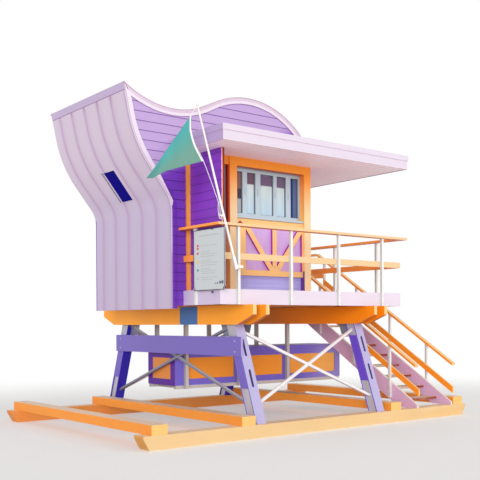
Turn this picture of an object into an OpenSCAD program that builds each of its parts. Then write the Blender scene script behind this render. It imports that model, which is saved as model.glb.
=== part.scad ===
// Beach lifeguard tower: a timber cabin with an S-curved wall and a wave roof,
// raised on four battered legs over a timber ground frame, with a railed deck,
// an outside stair, a board locker below, a notice board and a flag.
// X runs along the window front, Y runs to the back, Z is up from the ground.

/* [Ground frame] */
// Left end of the two skids, measured from the middle of the legs
skid_left = 3530; // [3300:10:3800]
// Right end of the two skids
skid_right = 3630; // [3400:10:3900]
// Skid timber, front to back
skid_w = 250; // [150:5:320]
// Skid timber, height
skid_h = 210; // [140:5:300]
// Bevel at the skid ends, along the skid
skid_bevel = 100; // [0:5:200]
// Depth of the ground frame over both skids
frame_depth = 4680; // [4200:10:5200]
// Cross timber width
cross_w = 265; // [150:5:300]
// Cross timber height
cross_h = 145; // [90:5:200]
// Outer left cross timber, middle
cross_x1 = -3265; // [-3400:5:-2600]
// Inner left cross timber, middle
cross_x2 = -1668; // [-1900:5:-1600]
// Inner right cross timber, middle
cross_x3 = 1660; // [1600:5:1900]
// Outer right cross timber, middle
cross_x4 = 3400; // [3100:5:3480]

/* [Legs] */
// Leg middle, left and right of the centre
leg_x = 1355; // [1200:5:1420]
// Leg width along the front
leg_w = 190; // [140:5:240]
// Leg depth, front to back
leg_d = 205; // [180:5:260]
// How far a leg leans from top to bottom
leg_batter = 543; // [400:1:600]
// Front face of the front legs at the ground
leg_front = -45; // [-120:5:-40]
// Foot of a rear leg in from the back of its skid
rear_leg_in = 32; // [0:1:60]
// Thickness of the boards on the legs
leg_board_t = 20; // [12:1:30]
// Height of the bare galvanised foot
leg_bare = 530; // [300:10:800]
// Brace tube diameter
brace_d = 60; // [40:1:90]
// Height of the braces' low ends above the skid
brace_low_h = 275; // [200:5:400]
// Drop of the braces' high ends below the floor beams
brace_high_drop = 100; // [50:5:160]
// Gusset plate length
gusset_l = 260; // [150:5:320]
// Gusset plate height
gusset_h = 190; // [120:5:260]

/* [Platform] */
// Floor beam depth
beam_h = 310; // [200:5:360]
// Floor beam thickness
beam_t = 70; // [45:1:90]
// Floor beams stand out past the front of the deck
beam_out = 180; // [80:5:300]
// Bevel length at the beam ends
beam_bevel = 400; // [200:10:600]
// Underside of the platform above the ground
platform_z = 2050; // [1700:10:2400]
// Platform depth, fascia height
platform_h = 235; // [180:5:300]
// Deck board thickness
deck_t = 40; // [25:1:50]
// Fascia board thickness
fascia_t = 38; // [19:1:50]
// Deck edge on the left
deck_left = -2010; // [-2200:10:-1800]
// Deck edge on the right
deck_right = 2080; // [1900:10:2300]
// Deck edge at the front
deck_front = 125; // [0:5:300]
// Deck edge at the back
deck_back = 4395; // [4200:5:4800]
// Left edge of the rear deck
rear_deck_left = -1600; // [-1800:10:-1200]
// Joist thickness
joist_t = 45; // [38:1:75]
// Joist bays from the front edge to the locker
joist_bays_front = 3; // [2:1:5]
// Joist bays from the locker to the back edge
joist_bays_rear = 3; // [2:1:5]

/* [Cabin] */
// Straight outer face of the curved wall
cabin_left = -2220; // [-2400:5:-2150]
// Outer face of the right wall
cabin_right = 730; // [500:5:1000]
// Front gable face
cabin_front = 1100; // [900:10:1300]
// Cabin depth, gable face to gable face
cabin_depth = 2460; // [2000:10:2700]
// Gable and side wall thickness
wall_t = 100; // [70:5:140]
// Curved wall thickness
curve_t = 80; // [60:5:120]
// Height where the curved wall starts to bend out
bend_z = 3530; // [3300:10:3800]
// Radius of the lower bend, outer face
bend_r1 = 500; // [300:10:800]
// Steepest lean of the curved wall
bend_a1 = 38.7; // [25:0.1:45]
// Straight part between the bends
bend_l = 480; // [200:10:700]
// Radius of the upper bend, outer face
bend_r2 = 1840; // [1200:10:2400]
// Lean of the curved wall at the top
bend_a2 = 12; // [5:0.5:20]
// How far the curved wall hangs below the platform
curve_drop = 50; // [0:5:100]
// Cabin floor covering over the deck boards
floor_t = 18; // [10:1:30]

/* [Wave roof] */
// Lowest point of the roof wave
valley_z = 5156; // [5000:2:5300]
// Radius of the valley
valley_r = 1545; // [1200:5:1900]
// Crest of the roof wave, from the middle of the legs
crest_x = -650; // [-900:10:-400]
// Highest point of the roof wave
crest_z = 5567; // [5400:1:5700]
// Roof thickness
roof_t = 70; // [50:1:100]
// Width of the edge boards along the roof
trim_w = 95; // [60:1:130]
// Width of the edge boards along the curved wall
side_trim_w = 74; // [50:1:110]
// Thickness of the edge boards
trim_t = 28; // [18:1:40]
// Roofing sheet thickness
sheet_t = 8; // [4:1:15]

/* [Flat roof] */
// Underside of the flat roof above the platform top
flat_h = 2175; // [2000:5:2400]
// Flat roof thickness
flat_t = 215; // [150:5:260]
// Front edge of the flat roof
flat_front = -245; // [-400:5:0]
// Right edge of the flat roof
flat_right = 1850; // [1600:10:2100]
// Flat roof runs past the back of the cabin
flat_back = 65; // [65:5:200]
// Lower band of the fascia
flat_band = 135; // [80:5:180]

/* [Window bay] */
// Outer face of the bay's left wall
bay_left = -1890; // [-1960:5:-1750]
// Left wall thickness
bay_t = 50; // [40:1:90]
// Front end of the left wall
bay_front = 225; // [180:5:400]
// Outer face of the window wall
window_wall = 785; // [650:5:950]
// Window wall thickness
window_wall_t = 90; // [70:5:120]
// Right end of the bay
bay_right = 385; // [250:5:600]
// Left edge of the orange surround
surround_left = -1390; // [-1500:5:-1250]
// Width of the surround posts
surround_w = 150; // [100:5:180]
// Depth the surround stands out
surround_d = 110; // [60:5:140]
// Header depth
header_h = 145; // [90:5:200]
// Window sill above the platform top
sill_h = 1223; // [1000:1:1300]
// Window height
window_h = 787; // [700:1:830]
// Aluminium frame width
alu_w = 45; // [30:1:60]
// Aluminium frame depth
alu_d = 70; // [50:1:80]
// Bottom rail of the bay window
alu_low = 62; // [45:1:120]
// Left jamb of the bay window
left_jamb = 30; // [20:1:60]
// First pane of the bay window
pane_1 = 174; // [120:1:240]
// First sash stile
upright_1 = 96; // [60:1:120]
// Second pane
pane_2 = 179; // [120:1:240]
// Second sash stile
upright_2 = 108; // [60:1:130]
// Third pane
pane_3 = 285; // [200:1:340]
// Mullion between the third and fourth panes
upright_3 = 74; // [50:1:120]
// Fourth pane
pane_4 = 208; // [120:1:260]
// Last sash stile
upright_4 = 106; // [60:1:130]
// Right jamb of the bay window
right_jamb = 41; // [20:1:60]
// Width of the V truss boards
truss_w = 94; // [70:2:120]
// Thickness of the V truss boards
truss_t = 46; // [25:1:60]
// Left upright of the V truss
truss_left = 209; // [100:1:240]
// Right upright of the V truss
truss_right = 23; // [20:1:110]
// Feet of the V above the underside of the truss
truss_foot = 25; // [10:1:60]
// Underside of the truss above the platform top
panel_low = 258; // [150:1:400]
// Corner post width
corner_w = 70; // [50:5:72]

/* [Hidden side] */
// Side door opening width
door_w = 810; // [700:10:900]
// Side door opening height
door_h = 1960; // [1850:10:2050]
// Side door, near edge behind the front gable face
door_y = 1290; // [1000:10:1500]
// Width of the framing beside the door glass
door_stile = 140; // [100:5:180]
// Underside of the door glass above the platform top
door_glass_z = 1100; // [900:10:1200]
// Height of the door glass
door_glass_h = 700; // [500:10:800]
// Side window, near edge behind the front gable face
side_window_in = 330; // [200:10:400]
// Side window width
side_window_w = 700; // [600:10:800]
// Rear window, middle to the right of the cabin's middle
rear_window_in = 150; // [0:10:300]
// Rear window width
rear_window_w = 1500; // [1000:10:1800]

/* [Railings] */
// Top of the deck rail above the platform top
rail_h = 1000; // [900:5:1100]
// Top rail width
rail_w = 140; // [90:5:160]
// Top rail thickness
rail_t = 40; // [30:1:50]
// Steel post side
post_w = 45; // [35:1:60]
// First front post
post_x = -1675; // [-1800:5:-1500]
// Spacing of the front posts
post_gap = 1080; // [900:5:1150]
// First post on the right side
side_post_y = 721; // [500:1:900]
// Spacing of the side posts
side_post_gap = 1095; // [900:5:1120]
// Mid rail depth
mid_w = 100; // [70:5:140]
// Mid rail top above the platform top
mid_h = 555; // [450:5:650]
// Mid rail thickness
mid_t = 38; // [25:1:45]

/* [Stair] */
// Number of rises from the lowest tread to the deck
steps = 10; // [9:1:11]
// Lowest tread above the skid
first_rise = 139; // [100:1:190]
// Going of one step
going = 307; // [280:1:320]
// Front edge of the lowest tread
stair_y = 207; // [150:1:260]
// Outer face of the near stringer
stair_left = 2225; // [2225:1:2260]
// Clear width between the stringers
stair_w = 925; // [700:5:935]
// Stringer thickness
stringer_t = 45; // [38:1:60]
// Stringer depth, square to the slope
stringer_d = 286; // [240:2:320]
// Stringer edge above the nosings
stringer_up = 127; // [90:1:150]
// Tread thickness
tread_t = 40; // [30:1:50]
// Tread depth
tread_d = 280; // [230:5:300]
// Handrail height above the nosings
handrail_h = 860; // [750:5:950]
// Handrail timber width
handrail_w = 90; // [70:5:120]
// Handrail timber thickness
handrail_t = 40; // [30:1:50]
// Stair mid rail above the nosings
stair_mid_h = 432; // [350:1:500]
// Stair mid rail depth, square to the slope
stair_mid_w = 100; // [80:2:140]
// Rails run past the lowest nosing
rail_past = 342; // [250:2:400]
// First stair post from the lowest nosing
stair_post_y = 290; // [200:5:350]
// Spacing of the stair posts
stair_post_gap = 921; // [850:1:940]

/* [Boards, signs and flag] */
// Name plank height
plank_h = 310; // [200:5:350]
// Name plank top below the platform
plank_drop = 500; // [450:5:600]
// Name plank thickness
plank_t = 38; // [25:1:50]
// Near end of the name plank
plank_y = 285; // [200:5:380]
// Length of the name plank
plank_l = 3870; // [3700:5:3950]
// Number plate width
plate_w = 510; // [300:5:600]
// Number plate near edge
plate_y = 1410; // [1200:10:2000]
// Notice board width
notice_w = 800; // [600:5:900]
// Notice board height
notice_h = 940; // [700:5:1000]
// Notice board thickness
notice_t = 8; // [5:1:15]
// Notice post, middle
notice_y = 729; // [650:1:800]
// Flag pole foot height above the platform top
pole_foot = 295; // [200:5:400]
// Flag pole length
pole_l = 2475; // [2000:5:2800]
// Flag pole lean to the left
pole_a = 16.7; // [10:0.1:20]
// Flag pole foot, along the front
pole_x = -1785; // [-1900:5:-1750]
// Pole diameter at the foot
pole_d1 = 44; // [35:1:50]
// Pole diameter at the top
pole_d2 = 26; // [20:1:34]
// Flag length, hoist to tip
flag_l = 980; // [700:10:1100]
// Flag height at the hoist
flag_h = 640; // [500:10:700]
// Flag cloth as a plain solid
flag_t = 8; // [5:1:12]
// Rope diameter
rope_d = 9; // [7:1:12]

/* [Locker] */
// Left end of the locker
locker_left = -1300; // [-1310:5:-1150]
// Locker length
locker_l = 4125; // [3900:5:4300]
// Front face of the locker
locker_front = 2415; // [2200:5:2500]
// Locker depth, front to back
locker_d = 890; // [700:5:950]
// Locker height
locker_h = 670; // [560:5:680]
// Top of the locker below the platform
locker_drop = 730; // [700:1:800]
// Depth of the grey bearers under the locker
bearer_h = 62; // [45:1:90]
// Hanger side
hanger_w = 66; // [45:1:70]
// Spacing of the hangers along the locker
hanger_gap = 1210; // [1100:5:1215]
// First hanger from the left end of the locker
hanger_in = 220; // [190:5:300]
// Locker wall thickness
locker_t = 25; // [18:1:40]
// Width of the upright framing at the locker's corners
stile_w = 150; // [60:5:180]
// Width of the framing behind the first hanger
first_stile_w = 297; // [260:1:320]
// Width of the framing behind the other hangers
mullion_w = 202; // [100:2:220]
// Framing below the panels
low_rail = 112; // [60:2:160]
// Framing above the panels
high_rail = 175; // [60:1:200]

/* [Hidden] */
$fn = 32;
eps = 0.01;

// colours as the paint shows
lavender = [0.80, 0.70, 0.90];
violet = [0.46, 0.20, 0.66];
lilac = [0.78, 0.71, 0.82];
blush = [0.98, 0.90, 0.95];
orange = [0.98, 0.56, 0.22];
amber = [1.00, 0.78, 0.48];
steel = [0.70, 0.72, 0.74];
mauve = [0.76, 0.54, 0.70];
navy = [0.10, 0.08, 0.42];

top_z = platform_z + platform_h;
cross_z = skid_h + cross_h;
frame_back = frame_depth - skid_w / 2;
rear_skid_y = frame_back - skid_w / 2;
beam_z = platform_z - beam_h;
leg_h = beam_z + 250 - skid_h;
leg_slope = leg_batter / (beam_z - skid_h);
leg_mirror = frame_back - rear_leg_in + leg_front;
cabin_back = cabin_front + cabin_depth;
flat_z = top_z + flat_h;
flat_top = flat_z + flat_t;
riser = (top_z - skid_h - first_rise) / steps;
stair_slope = riser / going;
stair_right = stair_left + 2 * stringer_t + stair_w;
landing_front = stair_y + steps * going;
landing_right = stair_right;

locker_z = platform_z - locker_drop - locker_h;
locker_right = locker_left + locker_l;
locker_back = locker_front + locker_d;
locker_top = locker_z + locker_h;
hanger_y0 = locker_front - hanger_w / 2;
hanger_y1 = locker_back + hanger_w / 2;
hanger_xs = [for (i = [0:2]) locker_left + hanger_in + i * hanger_gap];
panel_starts = [locker_left + first_stile_w, hanger_xs[1] + mullion_w / 2, hanger_xs[2] + mullion_w / 2];
panel_ends = [hanger_xs[1] - mullion_w / 2, hanger_xs[2] - mullion_w / 2, locker_right - stile_w];

// the wave: a valley circle from above and a crest circle from below, tangent to each other
valley_x = cabin_left;
wave_rise = crest_z - valley_z;
wave_run = crest_x - valley_x;
crest_r = (wave_run * wave_run + wave_rise * wave_rise) / (2 * wave_rise) - valley_r;
wave_turn = asin(wave_run / (valley_r + crest_r));
far = 9000;

function along(cx, cz, r, a0, a1, n) =
    [for (i = [0:n]) let (a = a0 + (a1 - a0) * i / n) [cx + r * cos(a), cz + r * sin(a)]];

// curved wall face, moved inward by o: lower bend, straight lean, upper bend, straight to the top
bend1_c = [cabin_left - bend_r1, bend_z];
lean_foot = bend1_c + bend_r1 * [cos(bend_a1), sin(bend_a1)];
lean_head = lean_foot + bend_l * [-sin(bend_a1), cos(bend_a1)];
bend2_c = lean_head + bend_r2 * [cos(bend_a1), sin(bend_a1)];
function curve_face(o) = concat(
    along(bend1_c[0], bend1_c[1], bend_r1 + o, 0, bend_a1, 8),
    along(bend2_c[0], bend2_c[1], bend_r2 - o, 180 + bend_a1, 180 + bend_a2, 8));
function curve_top(o) =
    bend2_c - (bend_r2 - o) * [cos(bend_a2), sin(bend_a2)] + 1500 * [-sin(bend_a2), cos(bend_a2)];

// roof wave, moved down by o, from beyond the left tip to the flat roof
function wave_line(o) = concat(
    along(valley_x, valley_z + valley_r, valley_r + o, 225, 270 + wave_turn, 16),
    along(crest_x, crest_z - crest_r, crest_r - o, 90 + wave_turn, 10, 24));

module across(points, y0, y1) {
    translate([0, y1, 0])
    rotate([90, 0, 0])
    linear_extrude(height = y1 - y0)
    polygon(points);
}

module along_x(points, x0, x1) {
    translate([x0, 0, 0])
    rotate([90, 0, 90])
    linear_extrude(height = x1 - x0)
    polygon(points);
}

module block(x0, x1, y0, y1, z0, z1) {
    translate([x0, y0, z0])
    cube([x1 - x0, y1 - y0, z1 - z0]);
}

// everything to the right of the curved wall face, o inside it
module right_of_curve(o, y0, y1, z0) {
    top = curve_top(o);
    across(concat([[far, z0], [cabin_left + o, z0]], curve_face(o), [top, [far, top[1]]]), y0, y1);
}

// everything below the roof wave, o below it
module below_wave(o, y0, y1) {
    line = wave_line(o);
    across(concat([[-far, -far], [-far, line[0][1]]], line, [[line[len(line) - 1][0], -far]]), y0, y1);
}

module cabin_profile(o_curve, o_roof, y0, y1, z0) {
    intersection() {
        right_of_curve(o_curve, y0, y1, z0);
        below_wave(o_roof, y0, y1);
    }
}

// ground frame

module skid(y) {
    x0 = -skid_left;
    x1 = skid_right;
    across([[x0 + skid_bevel, 0], [x1 - skid_bevel, 0], [x1, skid_h - 40], [x1, skid_h],
            [x0, skid_h], [x0, skid_h - 40]], y - skid_w / 2, y + skid_w / 2);
}

module front_skid() {
    color(amber) skid(0);
}

module rear_skid() {
    color(amber) skid(rear_skid_y);
}

module cross_beams() {
    color(orange)
    for (x = [cross_x1, cross_x2, cross_x3, cross_x4])
        block(x - cross_w / 2, x + cross_w / 2, -skid_w / 2, frame_back, skid_h, cross_z);
}

// legs: a galvanised core clamped between two floor beams, with painted boards on it

function leg_line(z) = leg_front + (z - skid_h) * leg_slope;

module leg_slab(x0, x1, in0, in1, z0, z1, rear) {
    a = leg_line(z0);
    b = leg_line(z1);
    pts = [[a + in0, z0], [a + in1, z0], [b + in1, z1], [b + in0, z1]];
    along_x(rear ? [for (p = pts) [leg_mirror - p[0], p[1]]] : pts, x0, x1);
}

module leg(side, rear) {
    x = side * leg_x;
    w = leg_w / 2 - leg_board_t;
    leg_slab(x - w, x + w, leg_board_t, leg_d - leg_board_t, skid_h, beam_z, rear);
    leg_slab(x - leg_w / 2, x + leg_w / 2, leg_board_t, leg_d - leg_board_t, beam_z, platform_z, rear);
}

module front_legs() {
    color(steel) {
        leg(-1, false);
        leg(1, false);
    }
}

module rear_legs() {
    color(steel) {
        leg(-1, true);
        leg(1, true);
    }
}

module face_board(side, rear) {
    x = side * leg_x;
    slot_l = 260;
    difference() {
        leg_slab(x - leg_w / 2, x + leg_w / 2, 0, leg_board_t, skid_h, platform_z - 20, rear);
        for (z = [skid_h + 560, skid_h + 1040])
            leg_slab(x - 8, x + 8, -10, leg_board_t + 10, z, z + slot_l, rear);
    }
}

module back_board(side, rear) {
    x = side * leg_x;
    leg_slab(x - leg_w / 2, x + leg_w / 2, leg_d - leg_board_t, leg_d, skid_h, beam_z, rear);
}

module side_board(side, rear) {
    x = side * leg_x;
    for (s = [-1, 1])
        leg_slab(x + s * (leg_w / 2 - leg_board_t / 2) - leg_board_t / 2,
                 x + s * (leg_w / 2 - leg_board_t / 2) + leg_board_t / 2,
                 leg_board_t + 2, leg_d - leg_board_t - 2, skid_h + leg_bare,
                 s == side ? beam_z - 5 : beam_z - gusset_h - 15, rear);
}

module leg_boards() {
    color(lavender)
    for (side = [-1, 1])
        for (rear = [false, true]) {
            face_board(side, rear);
            back_board(side, rear);
            side_board(side, rear);
        }
}

// braces: two crossing tubes welded together, with a plate at every end

module tube(p, q, d) {
    v = q - p;
    l = norm(v);
    translate(p)
    rotate([0, acos(v[2] / l), atan2(v[1], v[0])])
    cylinder(h = l, d = d);
}

brace_low = skid_h + brace_low_h;
brace_high = beam_z - brace_high_drop;
plate_t = 14;
cross_mid = (brace_low + brace_high) / 2;

module front_cross(rear) {
    y0 = leg_line(brace_low) + leg_d / 2;
    y1 = leg_line(brace_high) + leg_d / 2;
    ya = rear ? leg_mirror - y0 : y0;
    yb = rear ? leg_mirror - y1 : y1;
    x = leg_x - leg_w / 2 + leg_board_t;
    clear_x = leg_x - leg_w / 2;
    clip_y = rear ? leg_mirror : 0;
    intersection() {
        union() {
            tube([-x, ya, brace_low], [x, yb, brace_high], brace_d);
            tube([x, ya, brace_low], [-x, yb, brace_high], brace_d);
        }
        union() {
            block(-x, x, clip_y - 900, clip_y + 900, 0, skid_h + leg_bare);
            block(-clear_x, clear_x, clip_y - 900, clip_y + 900, skid_h + leg_bare, platform_z);
        }
    }
}

module end_braces() {
    color(steel) {
        front_cross(false);
        front_cross(true);
    }
}

module side_cross(side) {
    x = side * leg_x;
    z0 = brace_low;
    z1 = beam_z - brace_d / 3;
    y0 = leg_line(z0) + leg_d - 20;
    y1 = leg_line(z1) + leg_d - 20;
    difference() {
        union() {
            if (side < 0) {
                tube([x, y0, z0], [x, leg_mirror - y1, z1], brace_d);
                tube([x, leg_mirror - y0, z0], [x, y1, z1], brace_d);
            }
            for (rear = [false, true])
                leg_slab(x - plate_t / 2, x + plate_t / 2, leg_d - 40, leg_d + gusset_l,
                         beam_z - gusset_h, beam_z, rear);
        }
        for (rear = [false, true])
            leg_slab(x - leg_w, x + leg_w, -400, leg_d, skid_h - 100, beam_z + 200, rear);
        block(x - 300, x + 300, -500, frame_depth, beam_z, beam_z + 300);
    }
}

module side_braces() {
    color(steel) {
        side_cross(-1);
        side_cross(1);
    }
}

// platform

module floor_beams() {
    y0 = deck_front - beam_out;
    y1 = deck_back + beam_out;
    half = beam_h / 2;
    color(orange)
    for (x = [-leg_x, leg_x])
        for (s = [-1, 1])
            along_x([[y0 + beam_bevel, beam_z], [y1 - beam_bevel, beam_z], [y1, beam_z + half],
                     [y1, platform_z], [y0, platform_z], [y0, beam_z + half]],
                    x + s * (leg_w / 2 + beam_t / 2) - beam_t / 2,
                    x + s * (leg_w / 2 + beam_t / 2) + beam_t / 2);
}

module deck_outline(inset, z0, z1) {
    i = inset;
    translate([0, 0, z0])
    linear_extrude(height = z1 - z0)
    polygon([[deck_left + i, deck_front + i], [deck_right - i, deck_front + i],
             [deck_right - i, landing_front + i], [landing_right - i, landing_front + i],
             [landing_right - i, deck_back - i], [rear_deck_left + i, deck_back - i],
             [rear_deck_left + i, cabin_back - i], [deck_left + i, cabin_back - i]]);
}

module deck_fascia() {
    color(blush)
    difference() {
        deck_outline(0, platform_z, top_z);
        deck_outline(fascia_t, platform_z - 10, top_z + 10);
    }
}

module deck_floor() {
    color(amber) deck_outline(fascia_t, top_z - deck_t, top_z);
}

// joists evenly spaced, with one over each row of locker hangers
joist_y0 = deck_front + fascia_t + joist_t;
joist_y1 = deck_back - fascia_t - joist_t;
joist_ys = concat(
    [for (i = [0:joist_bays_front - 1]) joist_y0 + i * (hanger_y0 - joist_y0) / joist_bays_front],
    [hanger_y0, (hanger_y0 + hanger_y1) / 2],
    [for (i = [0:joist_bays_rear]) hanger_y1 + i * (joist_y1 - hanger_y1) / joist_bays_rear]);

module floor_joists() {
    color(orange)
    for (y = joist_ys) {
        x0 = y > cabin_back - fascia_t - joist_t ? rear_deck_left : deck_left;
        x1 = y > landing_front + fascia_t + joist_t ? landing_right : deck_right;
        block(x0 + fascia_t, x1 - fascia_t, y - joist_t / 2, y + joist_t / 2, platform_z, top_z - deck_t);
    }
}

module cabin_floor() {
    color(lilac) {
        x0 = cabin_left + curve_t;
        y0 = cabin_front + wall_t;
        y1 = cabin_back - wall_t;
        block(x0, cabin_right - wall_t, y0, y1, top_z, top_z + floor_t);
        block(x0, deck_left, y0, y1, platform_z, top_z + floor_t);
    }
}

// cabin walls

slot_y = cabin_front + 1025;
slot_w = 440;
slot_z0 = 3805;
slot_z1 = 4310;

module slot_cut(grow, in0, in1) {
    translate([lean_foot[0], slot_y, lean_foot[1]])
    rotate([0, -bend_a1, 0])
    translate([in0, -grow, -20 - grow])
    cube([in1 - in0, slot_w + 2 * grow, 590 + 2 * grow]);
}

module curved_wall() {
    color(lilac)
    difference() {
        intersection() {
            difference() {
                right_of_curve(0, cabin_front, cabin_back, platform_z - curve_drop);
                right_of_curve(curve_t, cabin_front - 10, cabin_back + 10, platform_z - curve_drop - 10);
            }
            below_wave(roof_t, cabin_front - 20, cabin_back + 20);
        }
        slot_cut(0, -60, 160);
    }
}

module gable(y0, y1) {
    difference() {
        intersection() {
            cabin_profile(curve_t, roof_t, y0, y1, platform_z);
            block(-far, cabin_right - wall_t, y0 - 10, y1 + 10, 0, far);
        }
        block(deck_left, far, y0 - 10, y1 + 10, 0, top_z);
    }
}

module front_gable_wall() {
    color(violet)
    difference() {
        gable(cabin_front, cabin_front + wall_t);
        block(bay_left + bay_t, bay_right - window_wall_t, cabin_front - 10, cabin_front + wall_t + 10,
              0, flat_z - 60);
    }
}

rear_window_x = (cabin_left + cabin_right) / 2 + rear_window_in;

module rear_gable_wall() {
    color(violet)
    difference() {
        gable(cabin_back - wall_t, cabin_back);
        block(rear_window_x - rear_window_w / 2, rear_window_x + rear_window_w / 2,
              cabin_back - wall_t - 10, cabin_back + 10, top_z + sill_h, top_z + sill_h + window_h);
    }
}

door_y0 = cabin_front + door_y;
side_window_y = cabin_front + side_window_in;

module right_wall() {
    color(violet)
    difference() {
        intersection() {
            block(cabin_right - wall_t, cabin_right, cabin_front, cabin_back, top_z, far);
            below_wave(roof_t, cabin_front - 10, cabin_back + 10);
        }
        block(cabin_right - wall_t - 10, cabin_right + 10, door_y0, door_y0 + door_w, 0, top_z + door_h);
        block(cabin_right - wall_t - 10, cabin_right + 10, side_window_y, side_window_y + side_window_w,
              top_z + sill_h, top_z + sill_h + window_h);
    }
}

module side_door() {
    x1 = cabin_right - 20;
    color(orange)
    difference() {
        block(x1 - 45, x1, door_y0, door_y0 + door_w, top_z, top_z + door_h);
        block(x1 - 60, x1 + 10, door_y0 + door_stile, door_y0 + door_w - door_stile,
              top_z + door_glass_z, top_z + door_glass_z + door_glass_h);
    }
}

// roof: boards with a sheet on top, the sheet lapping the edge boards

roof_end = flat_top;

module wave_roof() {
    color(blush)
    difference() {
        union() {
            cabin_profile(0, 0, cabin_front, cabin_back, platform_z);
            cabin_profile(-12, -sheet_t, cabin_front - trim_t - 12, cabin_back + trim_t + 12, platform_z);
        }
        below_wave(roof_t, cabin_front - 1, cabin_back + 1);
        below_wave(0, cabin_front - 200, cabin_front);
        below_wave(0, cabin_back, cabin_back + 200);
        block(-far, far, cabin_front - 500, cabin_back + 500, 0, flat_top);
    }
}

module edge_band(y0, y1) {
    difference() {
        intersection() {
            difference() {
                cabin_profile(0, 0, y0, y1, platform_z - curve_drop);
                cabin_profile(side_trim_w, trim_w, y0 - 10, y1 + 10, 0);
            }
            block(-far, far, y0 - 10, y1 + 10, 0, far);
        }
        block(crest_x, far, y0 - 10, y1 + 10, 0, flat_top);
    }
}

module edge_boards() {
    color(blush) {
        edge_band(cabin_front - trim_t, cabin_front);
        edge_band(cabin_back, cabin_back + trim_t);
    }
}

module flat_plan(i, z0, z1) {
    translate([0, 0, z0])
    linear_extrude(height = z1 - z0)
    polygon([[cabin_left + i, flat_front + i], [flat_right - i, flat_front + i],
             [flat_right - i, cabin_back + flat_back - i], [cabin_right, cabin_back + flat_back - i],
             [cabin_right, cabin_front - trim_t], [cabin_left + i, cabin_front - trim_t]]);
}

module flat_roof() {
    color(blush)
    difference() {
        flat_plan(22, flat_z, flat_top);
        block(cabin_left - 10, cabin_right, cabin_front - trim_t - 10, cabin_front + 10, 0, flat_z - 1);
    }
}

module flat_roof_fascia() {
    color(blush)
    difference() {
        union() {
            flat_plan(0, flat_z - 12, flat_z + flat_band);
            flat_plan(-14, flat_z + flat_band, flat_top + 10);
        }
        flat_plan(22, flat_z - 20, flat_top + 20);
        block(-far, cabin_right, cabin_front - trim_t, far, 0, far);
        block(-far, cabin_right + 30, cabin_front - trim_t - 30, cabin_back, 0, far);
    }
}

// window bay

module bay_left_wall() {
    color(violet) block(bay_left, bay_left + bay_t, bay_front, cabin_front, top_z, flat_z);
}

module window_wall() {
    x0 = bay_left + bay_t;
    y1 = window_wall + window_wall_t;
    open_x0 = surround_left + surround_w;
    open_x1 = bay_right - surround_w;
    color(violet) {
        difference() {
            block(x0, bay_right, window_wall, y1, top_z, flat_z);
            block(open_x0, open_x1, window_wall - 10, y1 + 10, top_z + sill_h, top_z + sill_h + window_h);
        }
        block(bay_right - window_wall_t, bay_right, y1, cabin_front, top_z, flat_z);
    }
}

module truss_board(p, q, w) {
    v = q - p;
    n = [-v[1], v[0]] * (w / 2 / norm(v));
    across([p + n, q + n, q - n, p - n], window_wall - truss_t - panel_back_t, window_wall - panel_back_t);
}

surround_y = window_wall - surround_d;
panel_x0 = surround_left + surround_w;
panel_x1 = bay_right - surround_w;
panel_z0 = top_z + panel_low;
alu_sill = 30;
panel_z1 = top_z + sill_h - alu_sill;
panel_back_t = 22;

module window_surround() {
    color(orange) {
        difference() {
            block(surround_left, bay_right, surround_y, window_wall, top_z, flat_z);
            block(panel_x0, panel_x1, surround_y - 10, window_wall + 10, top_z - 10, flat_z - header_h);
        }
        block(bay_left + bay_t, surround_left, surround_y + 20, window_wall, flat_z - header_h, flat_z);
    }
}

module panel_bar(x0, x1, z0, z1) {
    block(x0, x1, window_wall - truss_t - panel_back_t, window_wall - panel_back_t, z0, z1);
}

module panel_truss() {
    in_left = panel_x0 + truss_left;
    in_right = panel_x1 - truss_right;
    mid = (in_left + in_right) / 2;
    half = truss_w / 2;
    color(lavender) {
        block(panel_x0, panel_x1, window_wall - panel_back_t, window_wall, panel_z0, panel_z1);
        panel_bar(panel_x0, panel_x1, panel_z0, panel_z0 + truss_w);
        panel_bar(panel_x0, panel_x1, panel_z1 - truss_w, panel_z1);
        panel_bar(panel_x0, in_left, panel_z0, panel_z1);
        panel_bar(in_right, panel_x1, panel_z0, panel_z1);
        panel_bar(mid - half, mid + half, panel_z0, panel_z1);
        intersection() {
            union() {
                truss_board([in_left, panel_z1 - truss_w], [mid, panel_z0 + truss_foot], truss_w);
                truss_board([in_right, panel_z1 - truss_w], [mid, panel_z0 + truss_foot], truss_w);
            }
            panel_bar(panel_x0, panel_x1, panel_z0, panel_z1);
        }
    }
}

module light_frame(w, h, bars) {
    difference() {
        cube([w, alu_d, h]);
        for (i = [0:bars]) {
            pitch = (w - alu_w) / (bars + 1);
            translate([alu_w + i * pitch, -10, alu_w])
            cube([pitch - alu_w, alu_d + 20, h - 2 * alu_w]);
        }
    }
}

front_w = bay_right - surround_left - 2 * surround_w;
panes = [pane_1, pane_2, pane_3, pane_4];
uprights = [upright_1, upright_2, upright_3, upright_4];

// left and right edges of the five panes, from the left of the opening
function pane_start(i) = i == 0 ? left_jamb : pane_end(i - 1) + uprights[i - 1];
function pane_end(i) = i == 4 ? front_w - right_jamb : pane_start(i) + panes[i];

module window_frames() {
    z = top_z + sill_h;
    color(steel) {
        translate([surround_left + surround_w, window_wall + 5, z])
        difference() {
            cube([front_w, alu_d, window_h]);
            for (i = [0:4])
                translate([pane_start(i), -10, alu_low])
                cube([pane_end(i) - pane_start(i), alu_d + 20, window_h - alu_w - alu_low]);
        }
        block(panel_x0, panel_x1, surround_y + 10, window_wall, panel_z1, z);
        translate([rear_window_x - rear_window_w / 2, cabin_back - wall_t + 15, z])
        light_frame(rear_window_w, window_h, 1);
        translate([cabin_right - 15, side_window_y, z])
        rotate([0, 0, 90])
        light_frame(side_window_w, window_h, 0);
    }
}

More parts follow.
